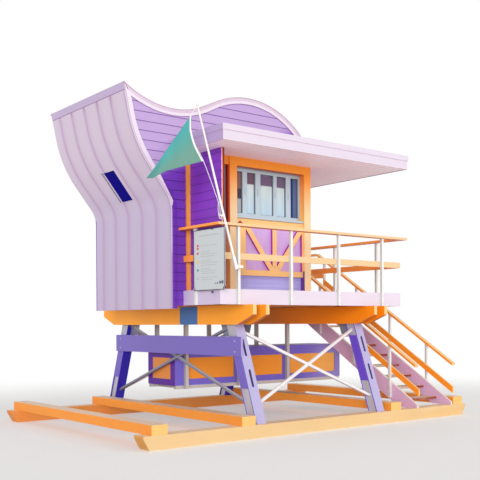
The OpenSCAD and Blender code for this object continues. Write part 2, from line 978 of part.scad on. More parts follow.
module window_glass() {
    z = top_z + sill_h;
    slot_in = 30;
    color([0.62, 0.78, 0.85]) {
        difference() {
            union() {
                for (i = [0:4])
                    translate([panel_x0 + pane_start(i), window_wall + 5 + alu_d / 2 - 3, z + alu_low])
                    cube([pane_end(i) - pane_start(i), 6, window_h - alu_w - alu_low]);
                translate([rear_window_x - rear_window_w / 2 + alu_w, cabin_back - wall_t + 12 + alu_d / 2, z + alu_w])
                cube([rear_window_w - 2 * alu_w, 6, window_h - 2 * alu_w]);
            }
            translate([rear_window_x - alu_w / 2, cabin_back - wall_t, z])
            cube([alu_w, wall_t, window_h]);
        }
        translate([cabin_right - 15 - alu_d / 2 - 3, side_window_y + alu_w, z + alu_w])
        cube([6, side_window_w - 2 * alu_w, window_h - 2 * alu_w]);
        translate([cabin_right - 20 - 25, door_y0 + door_stile, top_z + door_glass_z])
        cube([6, door_w - 2 * door_stile, door_glass_h]);
        slot_cut(0, slot_in, slot_in + 10);
    }
}

module corner_post() {
    color(orange)
    block(bay_left - corner_w, bay_left, cabin_front - 45, cabin_front, top_z, flat_z);
}

// railings: square steel posts on the outside of the fascia, timber rails

post_z = top_z + rail_h - rail_t;
rail_in = post_w / 2 - rail_w / 2;
left_line = deck_left - post_w / 2;
right_line = deck_right + post_w / 2;
front_line = deck_front - post_w / 2;
back_line = deck_back + post_w / 2;
landing_line = landing_right + post_w / 2;
rear_left_line = rear_deck_left - post_w / 2;

module post(x, y) {
    block(x - post_w / 2, x + post_w / 2, y - post_w / 2, y + post_w / 2, platform_z, post_z);
}

module railing_posts() {
    color(steel) {
        for (i = [0:3]) post(post_x + i * post_gap, front_line);
        for (i = [0:2]) post(right_line, side_post_y + i * side_post_gap);
        post(left_line, notice_y);
        for (i = [0:3]) post(rear_deck_left + 250 + i * 1330, back_line);
        post(landing_line, deck_back - 120);
        post(rear_left_line, cabin_back + 420);
    }
}

module rail_bar(x0, x1, y0, y1) {
    block(x0 - rail_w / 2, x1 + rail_w / 2, y0 - rail_w / 2, y1 + rail_w / 2, post_z, post_z + rail_t);
}

module top_rails() {
    color(orange) {
        rail_bar(left_line, right_line, front_line, front_line);
        rail_bar(left_line, left_line, front_line, cabin_front - rail_w / 2);
        rail_bar(right_line, right_line, front_line, landing_front - rail_w / 2);
        rail_bar(rear_left_line, landing_line, back_line, back_line);
        rail_bar(landing_line, landing_line, bend_y + rail_w / 2, back_line);
        rail_bar(rear_left_line, rear_left_line, cabin_back + rail_w / 2, back_line);
    }
}

module mid_bar(x0, x1, y0, y1) {
    block(x0, x1, y0, y1, top_z + mid_h - mid_w, top_z + mid_h);
}

module mid_rails() {
    color(orange) {
        mid_bar(deck_left, deck_right, deck_front, deck_front + mid_t);
        mid_bar(deck_left, deck_left + mid_t, deck_front, cabin_front);
        mid_bar(deck_right - mid_t, deck_right, deck_front, landing_front);
        mid_bar(rear_deck_left, landing_right, deck_back - mid_t, deck_back);
        mid_bar(landing_right - mid_t, landing_right, landing_front, deck_back);
        mid_bar(rear_deck_left, rear_deck_left + mid_t, cabin_back, deck_back);
    }
}

// stair

function nosing(y) = skid_h + first_rise + riser * (y - stair_y) / going;
function at_nosing(z) = stair_y + going * (z - skid_h - first_rise) / riser;
stair_stretch = sqrt(1 + stair_slope * stair_slope);
stringer_v = stringer_d * stair_stretch;
toe_y = -skid_w / 2;
foot_y = at_nosing(skid_h + stringer_v - stringer_up);

module stringer(x) {
    top_y = landing_front;
    along_x([[toe_y, skid_h], [foot_y, skid_h], [top_y, top_z + stringer_up - stringer_v],
             [top_y, top_z], [at_nosing(top_z - stringer_up), top_z], [toe_y, nosing(toe_y) + stringer_up]],
            x, x + stringer_t);
}

module stair_stringers() {
    color(mauve) {
        stringer(stair_left);
        stringer(stair_right - stringer_t);
    }
}

module stair_treads() {
    color(mauve)
    for (i = [0:steps - 1]) {
        y = stair_y + i * going;
        z = nosing(y);
        block(stair_left + stringer_t, stair_right - stringer_t, y, y + tread_d, z - tread_t, z);
    }
}

rail_v = handrail_t * stair_stretch;
mid_v = stair_mid_w * stair_stretch;
rail_end = stair_y - rail_past;
bend_y = at_nosing(top_z + rail_h - handrail_h);
near_line = stair_left - post_w / 2;
far_line = stair_right + post_w / 2;
stair_post_ys = [for (i = [0:2]) stair_y + stair_post_y + i * stair_post_gap];

module slope_bar(x0, x1, y0, y1, h, v) {
    a = nosing(y0) + h;
    b = nosing(y1) + h;
    along_x([[y0, a - v], [y1, b - v], [y1, b], [y0, a]], x0, x1);
}

module handrail(x, y1) {
    slope_bar(x - handrail_w / 2, x + handrail_w / 2, rail_end, y1, handrail_h, rail_v);
}

module stair_handrails() {
    color(orange) {
        handrail(near_line, landing_front);
        handrail(far_line, bend_y);
        slope_bar(stair_left, stair_left + mid_t, rail_end - 25, landing_front, stair_mid_h, mid_v);
        slope_bar(stair_right - mid_t, stair_right, rail_end - 25, landing_front, stair_mid_h, mid_v);
    }
}

// a stair post stands against the stringer's outer face and ends under the sloping handrail
module stair_post(x, y) {
    y0 = y - post_w / 2;
    y1 = y + post_w / 2;
    foot = nosing(y) + stringer_up - stringer_v + 50;
    top0 = nosing(y0) + handrail_h - rail_v;
    top1 = nosing(y1) + handrail_h - rail_v;
    along_x([[y0, foot], [y1, foot], [y1, top1], [y0, top0]], x - post_w / 2, x + post_w / 2);
}

module stair_posts() {
    color(steel) {
        for (y = stair_post_ys) {
            stair_post(near_line, y);
            stair_post(far_line, y);
        }
        stair_post(near_line, landing_front - post_w / 2);
        stair_post(far_line, landing_front + post_w / 2);
    }
}

// boards, signs and flag

module name_plank() {
    x1 = -leg_x - leg_w / 2;
    z1 = platform_z - plank_drop;
    color(violet)
    block(x1 - plank_t, x1, plank_y, plank_y + plank_l, z1 - plank_h, z1);
}

module number_plate() {
    x1 = -leg_x - leg_w / 2 - beam_t;
    color([0.14, 0.35, 0.59])
    block(x1 - 8, x1, plate_y, plate_y + plate_w, beam_z, platform_z - 8);
}

module notice_board() {
    x1 = left_line - post_w / 2;
    y1 = notice_y - post_w / 2 + 30;
    z1 = post_z - 40;
    r = 40;
    color([0.86, 0.88, 0.87]) {
        difference() {
            block(x1 - notice_t, x1, y1 - notice_w, y1, z1 - notice_h, z1);
            for (y = [y1 - notice_w, y1])
                for (z = [z1 - notice_h, z1])
                    translate([x1 - notice_t - 1, y, z])
                    rotate([45, 0, 0])
                    cube([notice_t + 2, r, r], center = false);
        }
        for (z = [z1 - 120, z1 - notice_h + 90])
            block(x1, x1 + 25, y1 - notice_w + 60, notice_y - post_w / 2, z, z + 30);
    }
}

pole_y = front_line - rail_w / 2 - pole_d1 / 2 - 4;
pole_foot_p = [pole_x, pole_y, top_z + pole_foot];
pole_dir = [-sin(pole_a), 0, cos(pole_a)];
pole_top = pole_foot_p + pole_l * pole_dir;
pole_truck_d = pole_d2 + 14;
cleat_l = 80;
cleat_h = 24;
rail_s = (post_z + rail_t / 2 - pole_foot_p[2]) / cos(pole_a);
rail_at = pole_foot_p + rail_s * pole_dir;
cleat_p = rail_at + 110 * pole_dir;

module flag_pole() {
    color(blush) {
        translate(pole_foot_p)
        rotate([0, -pole_a, 0]) {
            cylinder(h = pole_l, d1 = pole_d1, d2 = pole_d2);
            cylinder(h = 190, d = pole_d1 + 18);
            translate([0, 0, pole_l])
            sphere(d = pole_truck_d);
        }
        block(cleat_p[0] - cleat_l, cleat_p[0], pole_y - 8, pole_y + 8,
              cleat_p[2] - cleat_h / 2, cleat_p[2] + cleat_h / 2);
        block(rail_at[0] - 30, rail_at[0] + 30, pole_y, front_line - rail_w / 2, post_z + 5, post_z + rail_t - 5);
        block(pole_x - 20, post_x + 10, pole_y - 10, pole_y + 10, top_z + pole_foot + 20, top_z + pole_foot + 60);
        block(post_x - 10, post_x + 10, pole_y - 10, front_line - post_w / 2, top_z + pole_foot + 20, top_z + pole_foot + 60);
    }
}

// flag outline from its head: curved hoist down to the foot, lower edge to the tip
head = [pole_top[0] - 122, pole_top[2] - 165];
foot = head + [0.222 * flag_l, -flag_h];
tip = head + [-0.776 * flag_l, -1.56 * flag_h];
hoist = [head, head + [-0.004 * flag_l, -0.32 * flag_h], head + [0.032 * flag_l, -0.51 * flag_h],
         head + [0.086 * flag_l, -0.70 * flag_h], foot];

module flag() {
    color([0.32, 0.70, 0.65])
    across(concat(hoist, [head + [-0.032 * flag_l, -1.13 * flag_h], head + [-0.45 * flag_l, -1.34 * flag_h],
                          head + [-0.655 * flag_l, -1.535 * flag_h], tip]),
           pole_y - flag_t / 2, pole_y + flag_t / 2);
}

// the rope as a mitred band of square section
function heading(a, b) = (b - a) / norm(b - a);
function half_side(pts, i) =
    let (d = i == 0 ? heading(pts[0], pts[1]) :
             i == len(pts) - 1 ? heading(pts[i - 1], pts[i]) :
             heading([0, 0], heading(pts[i - 1], pts[i]) + heading(pts[i], pts[i + 1])))
    [-d[1], d[0]] * rope_d / 2;

module rope(pts) {
    last = len(pts) - 1;
    across(concat([for (i = [0:last]) pts[i] + half_side(pts, i)],
                  [for (i = [0:last]) pts[last - i] - half_side(pts, last - i)]),
           pole_y - rope_d / 2, pole_y + rope_d / 2);
}

module halyard() {
    o = [rope_d / 2 + 1.2, 0];
    to_head = head + o - [pole_top[0], pole_top[2]];
    start = [pole_top[0], pole_top[2]] + (pole_truck_d / 2 + 0.3) * to_head / norm(to_head);
    bight = [cleat_p[0] - 95, cleat_p[2] + 190];
    end = [cleat_p[0] - cleat_l + rope_d, cleat_p[2] + cleat_h / 2 + rope_d / 2 + 0.3];
    color([0.93, 0.93, 0.90]) {
        rope(concat([start], [for (p = hoist) p + o], [bight, end]));
        translate([end[0], pole_y, end[1]])
        sphere(d = rope_d);
    }
}

// locker slung under the platform

module locker_openings(in0, in1) {
    z0 = locker_z + low_rail;
    z1 = locker_top - high_rail;
    for (i = [0:2]) {
        block(panel_starts[i], panel_ends[i], locker_front + in0, locker_front + in1, z0, z1);
        block(panel_starts[i], panel_ends[i], locker_back - in1, locker_back - in0, z0, z1);
    }
    block(locker_left + in0, locker_left + in1, locker_front + stile_w, locker_back - stile_w, z0, z1);
    block(locker_right - in1, locker_right - in0, locker_front + stile_w, locker_back - stile_w, z0, z1);
}

module locker_body() {
    t = locker_t;
    color(violet)
    difference() {
        block(locker_left, locker_right, locker_front, locker_back, locker_z, locker_top);
        block(locker_left + t, locker_right - t, locker_front + t, locker_back - t, locker_z + t, locker_top - t);
        locker_openings(-10, t + 5);
    }
}

module locker_panels() {
    color(orange)
    locker_openings(8, locker_t);
}

module locker_hangers() {
    z0 = locker_z - bearer_h;
    color(steel) {
        for (x = hanger_xs) {
            for (y = [hanger_y0, hanger_y1])
                block(x - hanger_w / 2, x + hanger_w / 2, y - hanger_w / 2, y + hanger_w / 2, z0, platform_z);
            block(x - hanger_w / 2, x + hanger_w / 2, hanger_y0, hanger_y1, z0, locker_z);
        }
        for (y = [locker_front, locker_back - hanger_w])
            block(locker_left + 20, locker_right - 20, y, y + hanger_w, z0, locker_z);
    }
}

front_skid();
rear_skid();
cross_beams();
front_legs();
rear_legs();
leg_boards();
end_braces();
side_braces();
floor_beams();
floor_joists();
deck_floor();
deck_fascia();
cabin_floor();
curved_wall();
front_gable_wall();
rear_gable_wall();
right_wall();
side_door();
wave_roof();
edge_boards();
flat_roof();
flat_roof_fascia();
bay_left_wall();
window_wall();
window_surround();
panel_truss();
window_frames();
window_glass();
corner_post();
railing_posts();
top_rails();
mid_rails();
stair_stringers();
stair_treads();
stair_posts();
stair_handrails();
name_plank();
number_plate();
notice_board();
flag_pole();
flag();
halyard();
locker_body();
locker_panels();
locker_hangers();
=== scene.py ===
import bmesh, bpy, math
from mathutils import Matrix, Vector


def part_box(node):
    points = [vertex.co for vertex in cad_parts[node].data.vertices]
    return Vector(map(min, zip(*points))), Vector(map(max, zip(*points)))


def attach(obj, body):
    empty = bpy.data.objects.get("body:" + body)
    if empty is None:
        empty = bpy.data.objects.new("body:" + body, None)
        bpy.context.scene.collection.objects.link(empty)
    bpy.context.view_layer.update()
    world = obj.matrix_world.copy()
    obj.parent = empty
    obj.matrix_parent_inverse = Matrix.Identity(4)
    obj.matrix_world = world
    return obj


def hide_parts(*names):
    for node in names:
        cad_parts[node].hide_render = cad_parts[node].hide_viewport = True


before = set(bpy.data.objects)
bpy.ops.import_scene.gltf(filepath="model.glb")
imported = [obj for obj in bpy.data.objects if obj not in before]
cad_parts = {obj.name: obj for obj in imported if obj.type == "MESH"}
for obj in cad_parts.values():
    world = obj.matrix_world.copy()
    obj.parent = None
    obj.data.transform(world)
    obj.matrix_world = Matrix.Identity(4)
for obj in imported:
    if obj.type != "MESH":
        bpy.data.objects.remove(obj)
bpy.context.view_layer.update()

# ---- Viewpoint -------------------------------------------------------------------------------
# A camera at eye height off the front left corner. Its axis is level, so uprights stay upright,
# and a shift of the lens sets the tower low in the picture.


def set_out(name, data):
    """Stands a new object in the scene, at the origin."""
    made = bpy.data.objects.new(name, data)
    bpy.context.scene.collection.objects.link(made)
    return made


lens = bpy.data.cameras.new("viewpoint")
lens.sensor_width, lens.lens = 36, 62.014
lens.shift_x, lens.shift_y = 0.0048, 0.1725
eye_height, eye_roll, eye_heading = 1.768, 0.0058, math.radians(-38.2185)
camera = set_out("viewpoint", lens)
camera.location = (-9.516, -9.829, eye_height)
camera.rotation_euler = (math.radians(90), eye_roll, eye_heading)
bpy.context.scene.camera = camera
bpy.context.scene.view_settings.view_transform = "Standard"

# ---- Skids -----------------------------------------------------------------------------------
# Two long sawn timbers lie on the ground, painted orange, with painted light and shade by side.
# Their lower ends are bevelled for dragging, and pale dust clings to their foot.
X, Y, Z = range(3)


def chart(*paint):
    """A paint chart's 0 to 255 values as a linear colour."""
    levels = [value / 255 for value in paint]
    return (*[((c + 0.055) / 1.055) ** 2.4 if c > 0.0404 else c / 12.92 for c in levels], 1)


def fill(tree, socket, item):
    """Links a Value to a socket, or writes a number, a vector or a chart colour there."""
    if isinstance(item, Value):
        tree.links.new(item.socket, socket)
    else:
        socket.default_value = chart(*item) if socket.type == "RGBA" else item


class Value:
    """A shader socket that takes part in sums, with plain numbers on either side."""

    def __init__(self, tree, socket):
        self.tree, self.socket = tree, socket

    def maths(self, operation, *items):
        """A Math node on the items, or on this socket alone."""
        step = self.tree.nodes.new("ShaderNodeMath")
        step.operation = operation
        for socket, item in zip(step.inputs, items or (self,)):
            fill(self.tree, socket, item)
        return Value(self.tree, step.outputs[0])

    def __add__(self, other):
        return self.maths("ADD", self, other)

    def __radd__(self, other):
        return self.maths("ADD", other, self)

    def __sub__(self, other):
        return self.maths("SUBTRACT", self, other)

    def __rsub__(self, other):
        return self.maths("SUBTRACT", other, self)

    def __mul__(self, other):
        return self.maths("MULTIPLY", self, other)

    def __rmul__(self, other):
        return self.maths("MULTIPLY", other, self)

    def __truediv__(self, other):
        return self.maths("DIVIDE", self, other)


class Mixture:
    """The nodes of one finish or light. node() adds any node but a sum, and gives its output."""

    def __init__(self, tree):
        self.tree = tree

    def node(self, kind, settings={}, sockets={}, out=0):
        made = self.tree.nodes.new(kind)
        for key, value in settings.items():
            setattr(made, key, value)
        for key, value in sockets.items():
            fill(self.tree, made.inputs[key], value)
        return Value(self.tree, made.outputs[out])


class Finish(Mixture):
    """One paint, metal, glass or cloth. Its masks are 1 where they hold and 0 elsewhere."""

    def __init__(self, name):
        self.material = bpy.data.materials.new(name)
        self.material.use_nodes = True
        super().__init__(self.material.node_tree)
        self.body = self.tree.nodes["Principled BSDF"]
        self.place = self.node("ShaderNodeTexCoord", out="Object")
        self.x, self.y, self.z = self.parts(self.place)
        self.facing = self.parts(self.node("ShaderNodeTexCoord", out="Normal"))

    def parts(self, vector):
        """The three numbers of a vector."""
        return [self.node("ShaderNodeSeparateXYZ", {}, {0: vector}, axis) for axis in (X, Y, Z)]

    def mix(self, share, first, second):
        """The first colour where share is 0, the second where it is 1."""
        return self.node("ShaderNodeMix", {"data_type": "RGBA"}, {0: share, 6: first, 7: second}, 2)

    def scaled(self, colour, factor):
        """A colour made darker or paler."""
        return self.node("ShaderNodeVectorMath", {"operation": "SCALE"},
                         {0: colour, "Scale": factor})

    def ramp(self, value, low, high):
        """0 below low, 1 above high, smooth between."""
        return self.node("ShaderNodeMapRange", {"interpolation_type": "SMOOTHSTEP"},
                         {0: value, 1: low, 2: high})

    def fade(self, value, low, high):
        """1 below low, 0 above high, smooth between."""
        return 1 - self.ramp(value, low, high)

    def side(self, name, low=0.5, high=0.9):
        """A mask of the faces that look to one side."""
        axis, way = {"left": (X, -1), "front": (Y, -1), "down": (Z, -1),
                     "right": (X, 1), "up": (Z, 1)}[name]
        return self.ramp(self.facing[axis] * way, low, high)

    def noise(self, stretch, detail=4.0, roughness=0.55):
        """Cloudy noise about 0.5, with this many clouds a metre along each axis."""
        spread = self.node("ShaderNodeMapping", {}, {"Vector": self.place, "Scale": stretch})
        return self.node("ShaderNodeTexNoise", {}, {"Vector": spread, "Scale": 1.0,
                                                    "Detail": detail, "Roughness": roughness})

    def faces(self, front, left, top, under=None, right=None):
        """Painted light and shade: a colour for each side that a face looks to, as light falls on
        it.
        """
        to_front = self.ramp(self.facing[Y] * -0.9 + self.facing[X] * 0.25, 0.1, 0.45)
        colour = self.mix(to_front, left, front)
        colour = self.mix(self.side("right", 0.3, 0.8), colour, right or front)
        colour = self.mix(self.side("up", 0.35, 0.8), colour, top)
        return self.mix(self.side("down", 0.35, 0.8), colour, under or left)

    def edges(self, radius=0.008):
        """A mask of the sharp edges of a piece."""
        rounded = self.node("ShaderNodeBevel", {"samples": 4}, {"Radius": radius})
        true = self.node("ShaderNodeNewGeometry", out="True Normal")
        flat = self.node("ShaderNodeVectorMath", {"operation": "DOT_PRODUCT"},
                         {0: rounded, 1: true}, "Value")
        return self.ramp(1 - flat, 0.02, 0.25)

    def feed(self, **sockets):
        """Sets the surface's own sockets."""
        for name, value in sockets.items():
            fill(self.tree, self.body.inputs[name.replace("_", " ")], value)

    def relief(self, height, strength, depth):
        """Fine unevenness, depth metres from its lowest to its highest."""
        self.feed(Normal=self.node("ShaderNodeBump", {}, {
            "Height": height, "Strength": strength, "Distance": depth}, "Normal"))

    def painted(self, colour, run, roughness=0.42, worn=0.35, patchy=0.14):
        """Brushed paint on timber: grain along an axis, faded patches, edges rubbed to the wood."""
        stretch = [34, 34, 34]
        stretch[run] = 1.6
        grain = self.noise(stretch, 6.0)
        patches = self.noise((1.1, 1.1, 1.1), 5.0, 0.6)
        specks = self.noise((26, 26, 26), 5.0, 0.7)
        colour = self.scaled(colour, 1 - patchy / 2 + patchy * patches)
        colour = self.scaled(colour, 0.965 + 0.07 * grain)
        rubbed = self.edges() * self.ramp(specks, 0.42, 0.62) * worn
        bare_wood = (196, 170, 146)
        self.feed(Base_Color=self.mix(rubbed, colour, bare_wood), Specular_IOR_Level=0.3,
                  Roughness=roughness - 0.08 + 0.2 * patches + 0.2 * rubbed)
        self.relief(grain * 0.7 + specks * 0.3 - rubbed * 0.6, 0.22, 0.003)

    def coated(self, colour, specks, shade, gloss, relief, metallic=0.0, stain=None):
        """Metal, enamel, ink or rope. The specks vary its shade and its roughness, each given as a
        value and a spread, and stand up by relief. A stain is a mask and a colour."""
        colour = self.scaled(colour, shade[0] + shade[1] * specks)
        if stain:
            colour = self.mix(stain[0], colour, stain[1])
        roughness = gloss[0] + gloss[1] * specks if gloss[1] else gloss[0]
        self.feed(Base_Color=colour, Roughness=roughness, Metallic=metallic)
        self.relief(specks, *relief)


def dress(finish, *nodes):
    """Gives CAD nodes their finish."""
    for node in nodes:
        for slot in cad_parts[node].material_slots:
            slot.material = finish.material


def timber_paint(name, nodes, run, roughness, worn, patchy=0.14, **sides):
    """A brushed paint with painted light and shade, a colour for each side, put on CAD nodes."""
    coat = Finish(name)
    coat.painted(coat.faces(**sides), run, roughness, worn, patchy)
    dress(coat, *nodes)
    return coat


skid_coat = Finish("skid_coat")
skid_colour = skid_coat.faces(front=(235, 199, 145), left=(206, 146, 72), top=(250, 224, 190))
richer = skid_coat.ramp(skid_coat.noise((0.5, 0.5, 3), 3.0), 0.45, 0.7) * 0.35
skid_colour = skid_coat.mix(richer, skid_colour, (237, 184, 110))
dust_line = 0.012 + 0.04 * skid_coat.noise((5, 5, 5))
dusty = skid_coat.ramp(dust_line - skid_coat.z, 0.0, 0.04) * 0.6
skid_coat.painted(skid_coat.mix(dusty, skid_colour, (238, 226, 206)), X, 0.55, 0.5)
dress(skid_coat, "front_skid")
timber_paint("rear_skid_coat", ["rear_skid"], X, 0.55, 0.4,
             front=(232, 150, 74), left=(218, 136, 66), top=(250, 218, 180))

# ---- Cross beams -----------------------------------------------------------------------------
# Four timbers lie across both skids from front to back, painted the same orange.
# Each is bolted down to both skids with dome-headed coach bolts.
# Each side carries painted light and shade.
timber_paint("beam_coat", ["cross_beams"], Y, 0.5, 0.45,
             front=(250, 198, 118), left=(244, 152, 56), top=(251, 222, 190), right=(250, 180, 110))


def piece(name, shape, finish, smooth=False):
    """Turns a finished bmesh into a piece of the tower."""
    mesh = bpy.data.meshes.new(name)
    shape.to_mesh(mesh)
    shape.free()
    mesh.materials.append(finish.material)
    if smooth:
        mesh.shade_smooth()
    made = set_out(name, mesh)
    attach(made, "root")
    return made


galvanised = Finish("galvanised")
spangle = galvanised.noise((38, 38, 38), 3.0, 0.6)
streaks = galvanised.ramp(galvanised.noise((9, 9, 0.8)), 0.5, 0.75) * 0.25
# Front faces are painted a slightly different grey from the rest: painted light and shade.
steel_grey = galvanised.mix(galvanised.side("front", 0.2, 0.6), (196, 194, 202), (192, 192, 196))
galvanised.coated(steel_grey, spangle, (0.93, 0.14), (0.42, 0.16), (0.1, 0.001),
                  metallic=0.35, stain=(streaks, (188, 170, 150)))


def cone(shape, seat, foot, length, wide, narrow, segments):
    """A round piece that stands on a seat from foot up, wide below and narrow above."""
    bmesh.ops.create_cone(shape, cap_ends=True, segments=segments, radius1=wide, radius2=narrow,
                          depth=length,
                          matrix=seat @ Matrix.Translation((0, 0, foot + length / 2)))


def bolts(shape, spots, facing, radius):
    """Dome-headed coach bolts on round washers of a radius, heads towards facing."""
    washer, head = 0.003, 0.008
    turn = Vector((0, 0, 1)).rotation_difference(Vector(facing)).to_matrix().to_4x4()
    for spot in spots:
        seat = Matrix.Translation(spot) @ turn
        cone(shape, seat, 0, washer, radius, radius, 14)
        cone(shape, seat, washer, head, radius * 0.62, radius * 0.3, 12)


def shell_of(node):
    """A loose copy of a CAD node's mesh, its corners joined."""
    shell = bmesh.new()
    shell.from_mesh(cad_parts[node].data)
    bmesh.ops.remove_doubles(shell, verts=shell.verts, dist=0.0001)
    return shell


def solids_of(node):
    """Lowest and highest corners of each separate solid of a CAD node."""
    shell = shell_of(node)
    found, boxes = set(), []
    for first in shell.verts:
        if first in found:
            continue
        group, queue = {first}, [first]
        while queue:
            vert = queue.pop()
            fresh = {edge.other_vert(vert) for edge in vert.link_edges} - group
            group |= fresh
            queue.extend(fresh)
        found |= group
        boxes.append([Vector([pick(v.co[axis] for v in group) for axis in (X, Y, Z)])
                      for pick in (min, max)])
    shell.free()
    return boxes


skid_lines = [(low.y + high.y) / 2 for low, high in (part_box("front_skid"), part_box("rear_skid"))]
frame_bolts = bmesh.new()
for low, high in solids_of("cross_beams"):
    middle = (round(low.x, 3) + round(high.x, 3)) / 2
    bolts(frame_bolts, [(middle, line + side, high.z) for line in skid_lines
                        for side in (-0.05, 0.05)], (0, 0, 1), 0.02)
piece("frame_bolts", frame_bolts, galvanised)

# ---- Legs ------------------------------------------------------------------------------------
# Each leg is a square steel core on the cross beams, clad with painted boards on its four sides.
# Those at the front and the rear have long slots, drawn as dark plates of painted shade,
# and the left ones leave a bare steel head.
dress(galvanised, "front_legs", "rear_legs")
leg_coat = Finish("leg_coat")
# The boards carry painted light and shade on each side.
leg_colour = leg_coat.faces(front=(187, 180, 222), left=(118, 99, 194), top=(205, 196, 235),
                            right=(180, 168, 226))
# The front faces of the rear legs, under the deck, are painted deep blue as painted shade.
shaded_rear_fronts = leg_coat.ramp(leg_coat.y, 2.0, 2.4) * leg_coat.side("front", 0.3, 0.7)
leg_colour = leg_coat.mix(shaded_rear_fronts, leg_colour, (46, 30, 172))
# The left faces of the right legs are painted a deeper violet as painted shade.
shaded_right_legs = leg_coat.side("left") * leg_coat.ramp(leg_coat.x, 0.0, 0.4)
leg_colour = leg_coat.mix(shaded_right_legs, leg_colour, (108, 76, 210))
bare_head = leg_coat.ramp(leg_coat.z, 1.545, 1.56) * leg_coat.side("left")
bare_head = bare_head * leg_coat.fade(leg_coat.x, -1.2, -1.0)
leg_coat.painted(leg_coat.mix(bare_head, leg_colour, (176, 176, 186)), Z, 0.4, 0.4)
dress(leg_coat, "leg_boards")


def block(shape, middle, size, radius=0.0, along=None, segments=2, turn=Matrix()):
    """A block with its edges rounded to radius: all of them, or the four along one axis."""
    made = bmesh.ops.create_cube(shape, size=1, matrix=Matrix.Translation(middle) @ turn
                                 @ Matrix.Diagonal((*size, 1)))
    if radius:
        new = set(made["verts"])
        edges = [e for e in shape.edges if e.verts[0] in new]
        if along is not None:
            line = turn.col[along].to_3d()
            edges = [e for e in edges
                     if abs((e.verts[1].co - e.verts[0].co).normalized().dot(line)) > 0.99]
        bmesh.ops.bevel(shape, geom=edges, offset=radius, segments=segments, affect="EDGES",
                        profile=0.5, material=-1)


# Dark plates on the boards stand for the slots' depth as painted shade, lit by side as well.
slot_shade = Finish("slot_shade")
slot_shade.coated(slot_shade.faces(front=(52, 26, 98), left=(42, 20, 84), top=(60, 34, 104)),
                  slot_shade.noise((20, 20, 20)), (0.85, 0.3), (0.7, 0), (0.1, 0.001))
boards_low, boards_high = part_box("leg_boards")
leg_x, slot_heights, slot_size = 1.355, (0.90, 1.38), (0.040, 0.005, 0.29)
rake_run, rake_rise, rake_foot = 0.334, 0.942, 0.1126
lean = math.atan2(rake_run, rake_rise)
slot_shadow_plates = bmesh.new()
for way in (1, -1):
    for x in (-leg_x, leg_x):
        for z in slot_heights:
            y = (rake_run * z - rake_foot) / rake_rise
            y = y if way > 0 else boards_low.y + boards_high.y - y
            block(slot_shadow_plates, (x, y, z), slot_size, 0.016, Y, 3,
                  Matrix.Rotation(-lean * way, 4, "X"))
piece("slot_shadow_plates", slot_shadow_plates, slot_shade)

# ---- Braces ----------------------------------------------------------------------------------
# Steel tubes cross in an X at the front, the rear and the left, flattened at their ends and
# bolted to gusset plates. The end ones are painted white, the left ones are bare galvanised.
white_tube = Finish("white_tube")
# Each side of the white tubes carries painted light and shade.
tube_white = white_tube.faces(front=(244, 240, 243), left=(196, 190, 204), top=(248, 246, 246),
                              under=(168, 158, 170))
rust = white_tube.ramp(white_tube.noise((20, 20, 7), 6.0, 0.7), 0.66, 0.76) * 0.5
white_tube.coated(tube_white, white_tube.noise((6, 6, 6), 5.0), (0.95, 0.08), (0.32, 0.2),
                  (0.08, 0.002), stain=(rust, (190, 138, 104)))
dress(white_tube, "end_braces")

brace_steel = Finish("brace_steel")
# Each side of the grey tubes carries painted light and shade.
brace_grey = brace_steel.faces(front=(186, 186, 198), left=(137, 137, 156), top=(206, 206, 212),
                               under=(98, 96, 118))
brace_steel.coated(brace_grey, brace_steel.noise((24, 24, 10), 5.0), (0.92, 0.16), (0.4, 0.2),
                   (0.08, 0.001), metallic=0.3)
dress(brace_steel, "side_braces")

gusset_low, gusset_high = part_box("side_braces")
front_edge, rear_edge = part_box("front_legs")[1].y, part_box("rear_legs")[0].y
gusset_bolts = bmesh.new()
for x, way in ((gusset_low.x, -1), (gusset_high.x, 1)):
    for y in (front_edge - 0.30, front_edge - 0.16, rear_edge + 0.16, rear_edge + 0.30):
        bolts(gusset_bolts, [(x, y, gusset_high.z - drop) for drop in (0.05, 0.14)],
              (way, 0, 0), 0.016)
piece("gusset_bolts", gusset_bolts, galvanised)

# ---- Platform --------------------------------------------------------------------------------
# Two pairs of deep orange floor beams carry joists, the deck boards and a pale fascia all round.
# The beam ends are cut back at a slant and run out past the deck at the front.
floor_coat = Finish("floor_coat")
# Each side carries painted light and shade.
floor_orange = floor_coat.faces(front=(252, 205, 140), left=(255, 165, 38), top=(251, 214, 164),
                                under=(206, 104, 34), right=(244, 150, 72))
# The left faces of the inner beams, under the deck, are painted a deeper orange as painted shade.
shaded_inner_beams = floor_coat.ramp(floor_coat.x, -1.3, -0.6) * floor_coat.side("left")
floor_coat.painted(floor_coat.mix(shaded_inner_beams, floor_orange, (255, 140, 4)), Y)
dress(floor_coat, "floor_beams")
# The joists, fascia, cabin floor and deck carry painted light and shade on each side.
timber_paint("joist_coat", ["floor_joists"], X, 0.6, 0.2, front=(214, 140, 84),
             left=(196, 112, 60), top=(220, 160, 110), under=(190, 112, 64))
timber_paint("fascia_coat", ["deck_fascia"], X, 0.4, 0.4, 0.08, front=(231, 217, 231),
             left=(203, 187, 214), top=(244, 232, 240), under=(206, 176, 186),
             right=(228, 210, 228))
timber_paint("floor_cover", ["cabin_floor"], X, 0.6, 0.1,
             front=(190, 176, 184), left=(170, 156, 168), top=(196, 184, 188))

deck_coat = Finish("deck_coat")
deck_colour = deck_coat.faces(front=(238, 196, 150), left=(214, 160, 110), top=(226, 196, 164),
                              under=(196, 124, 78))
trodden = deck_coat.ramp(deck_coat.noise((0.9, 2.2, 1), 5.0, 0.65), 0.4, 0.62) * 0.5
deck_coat.painted(deck_coat.mix(trodden, deck_colour, (200, 178, 158)), X, 0.62, 0.5)
dress(deck_coat, "deck_floor")


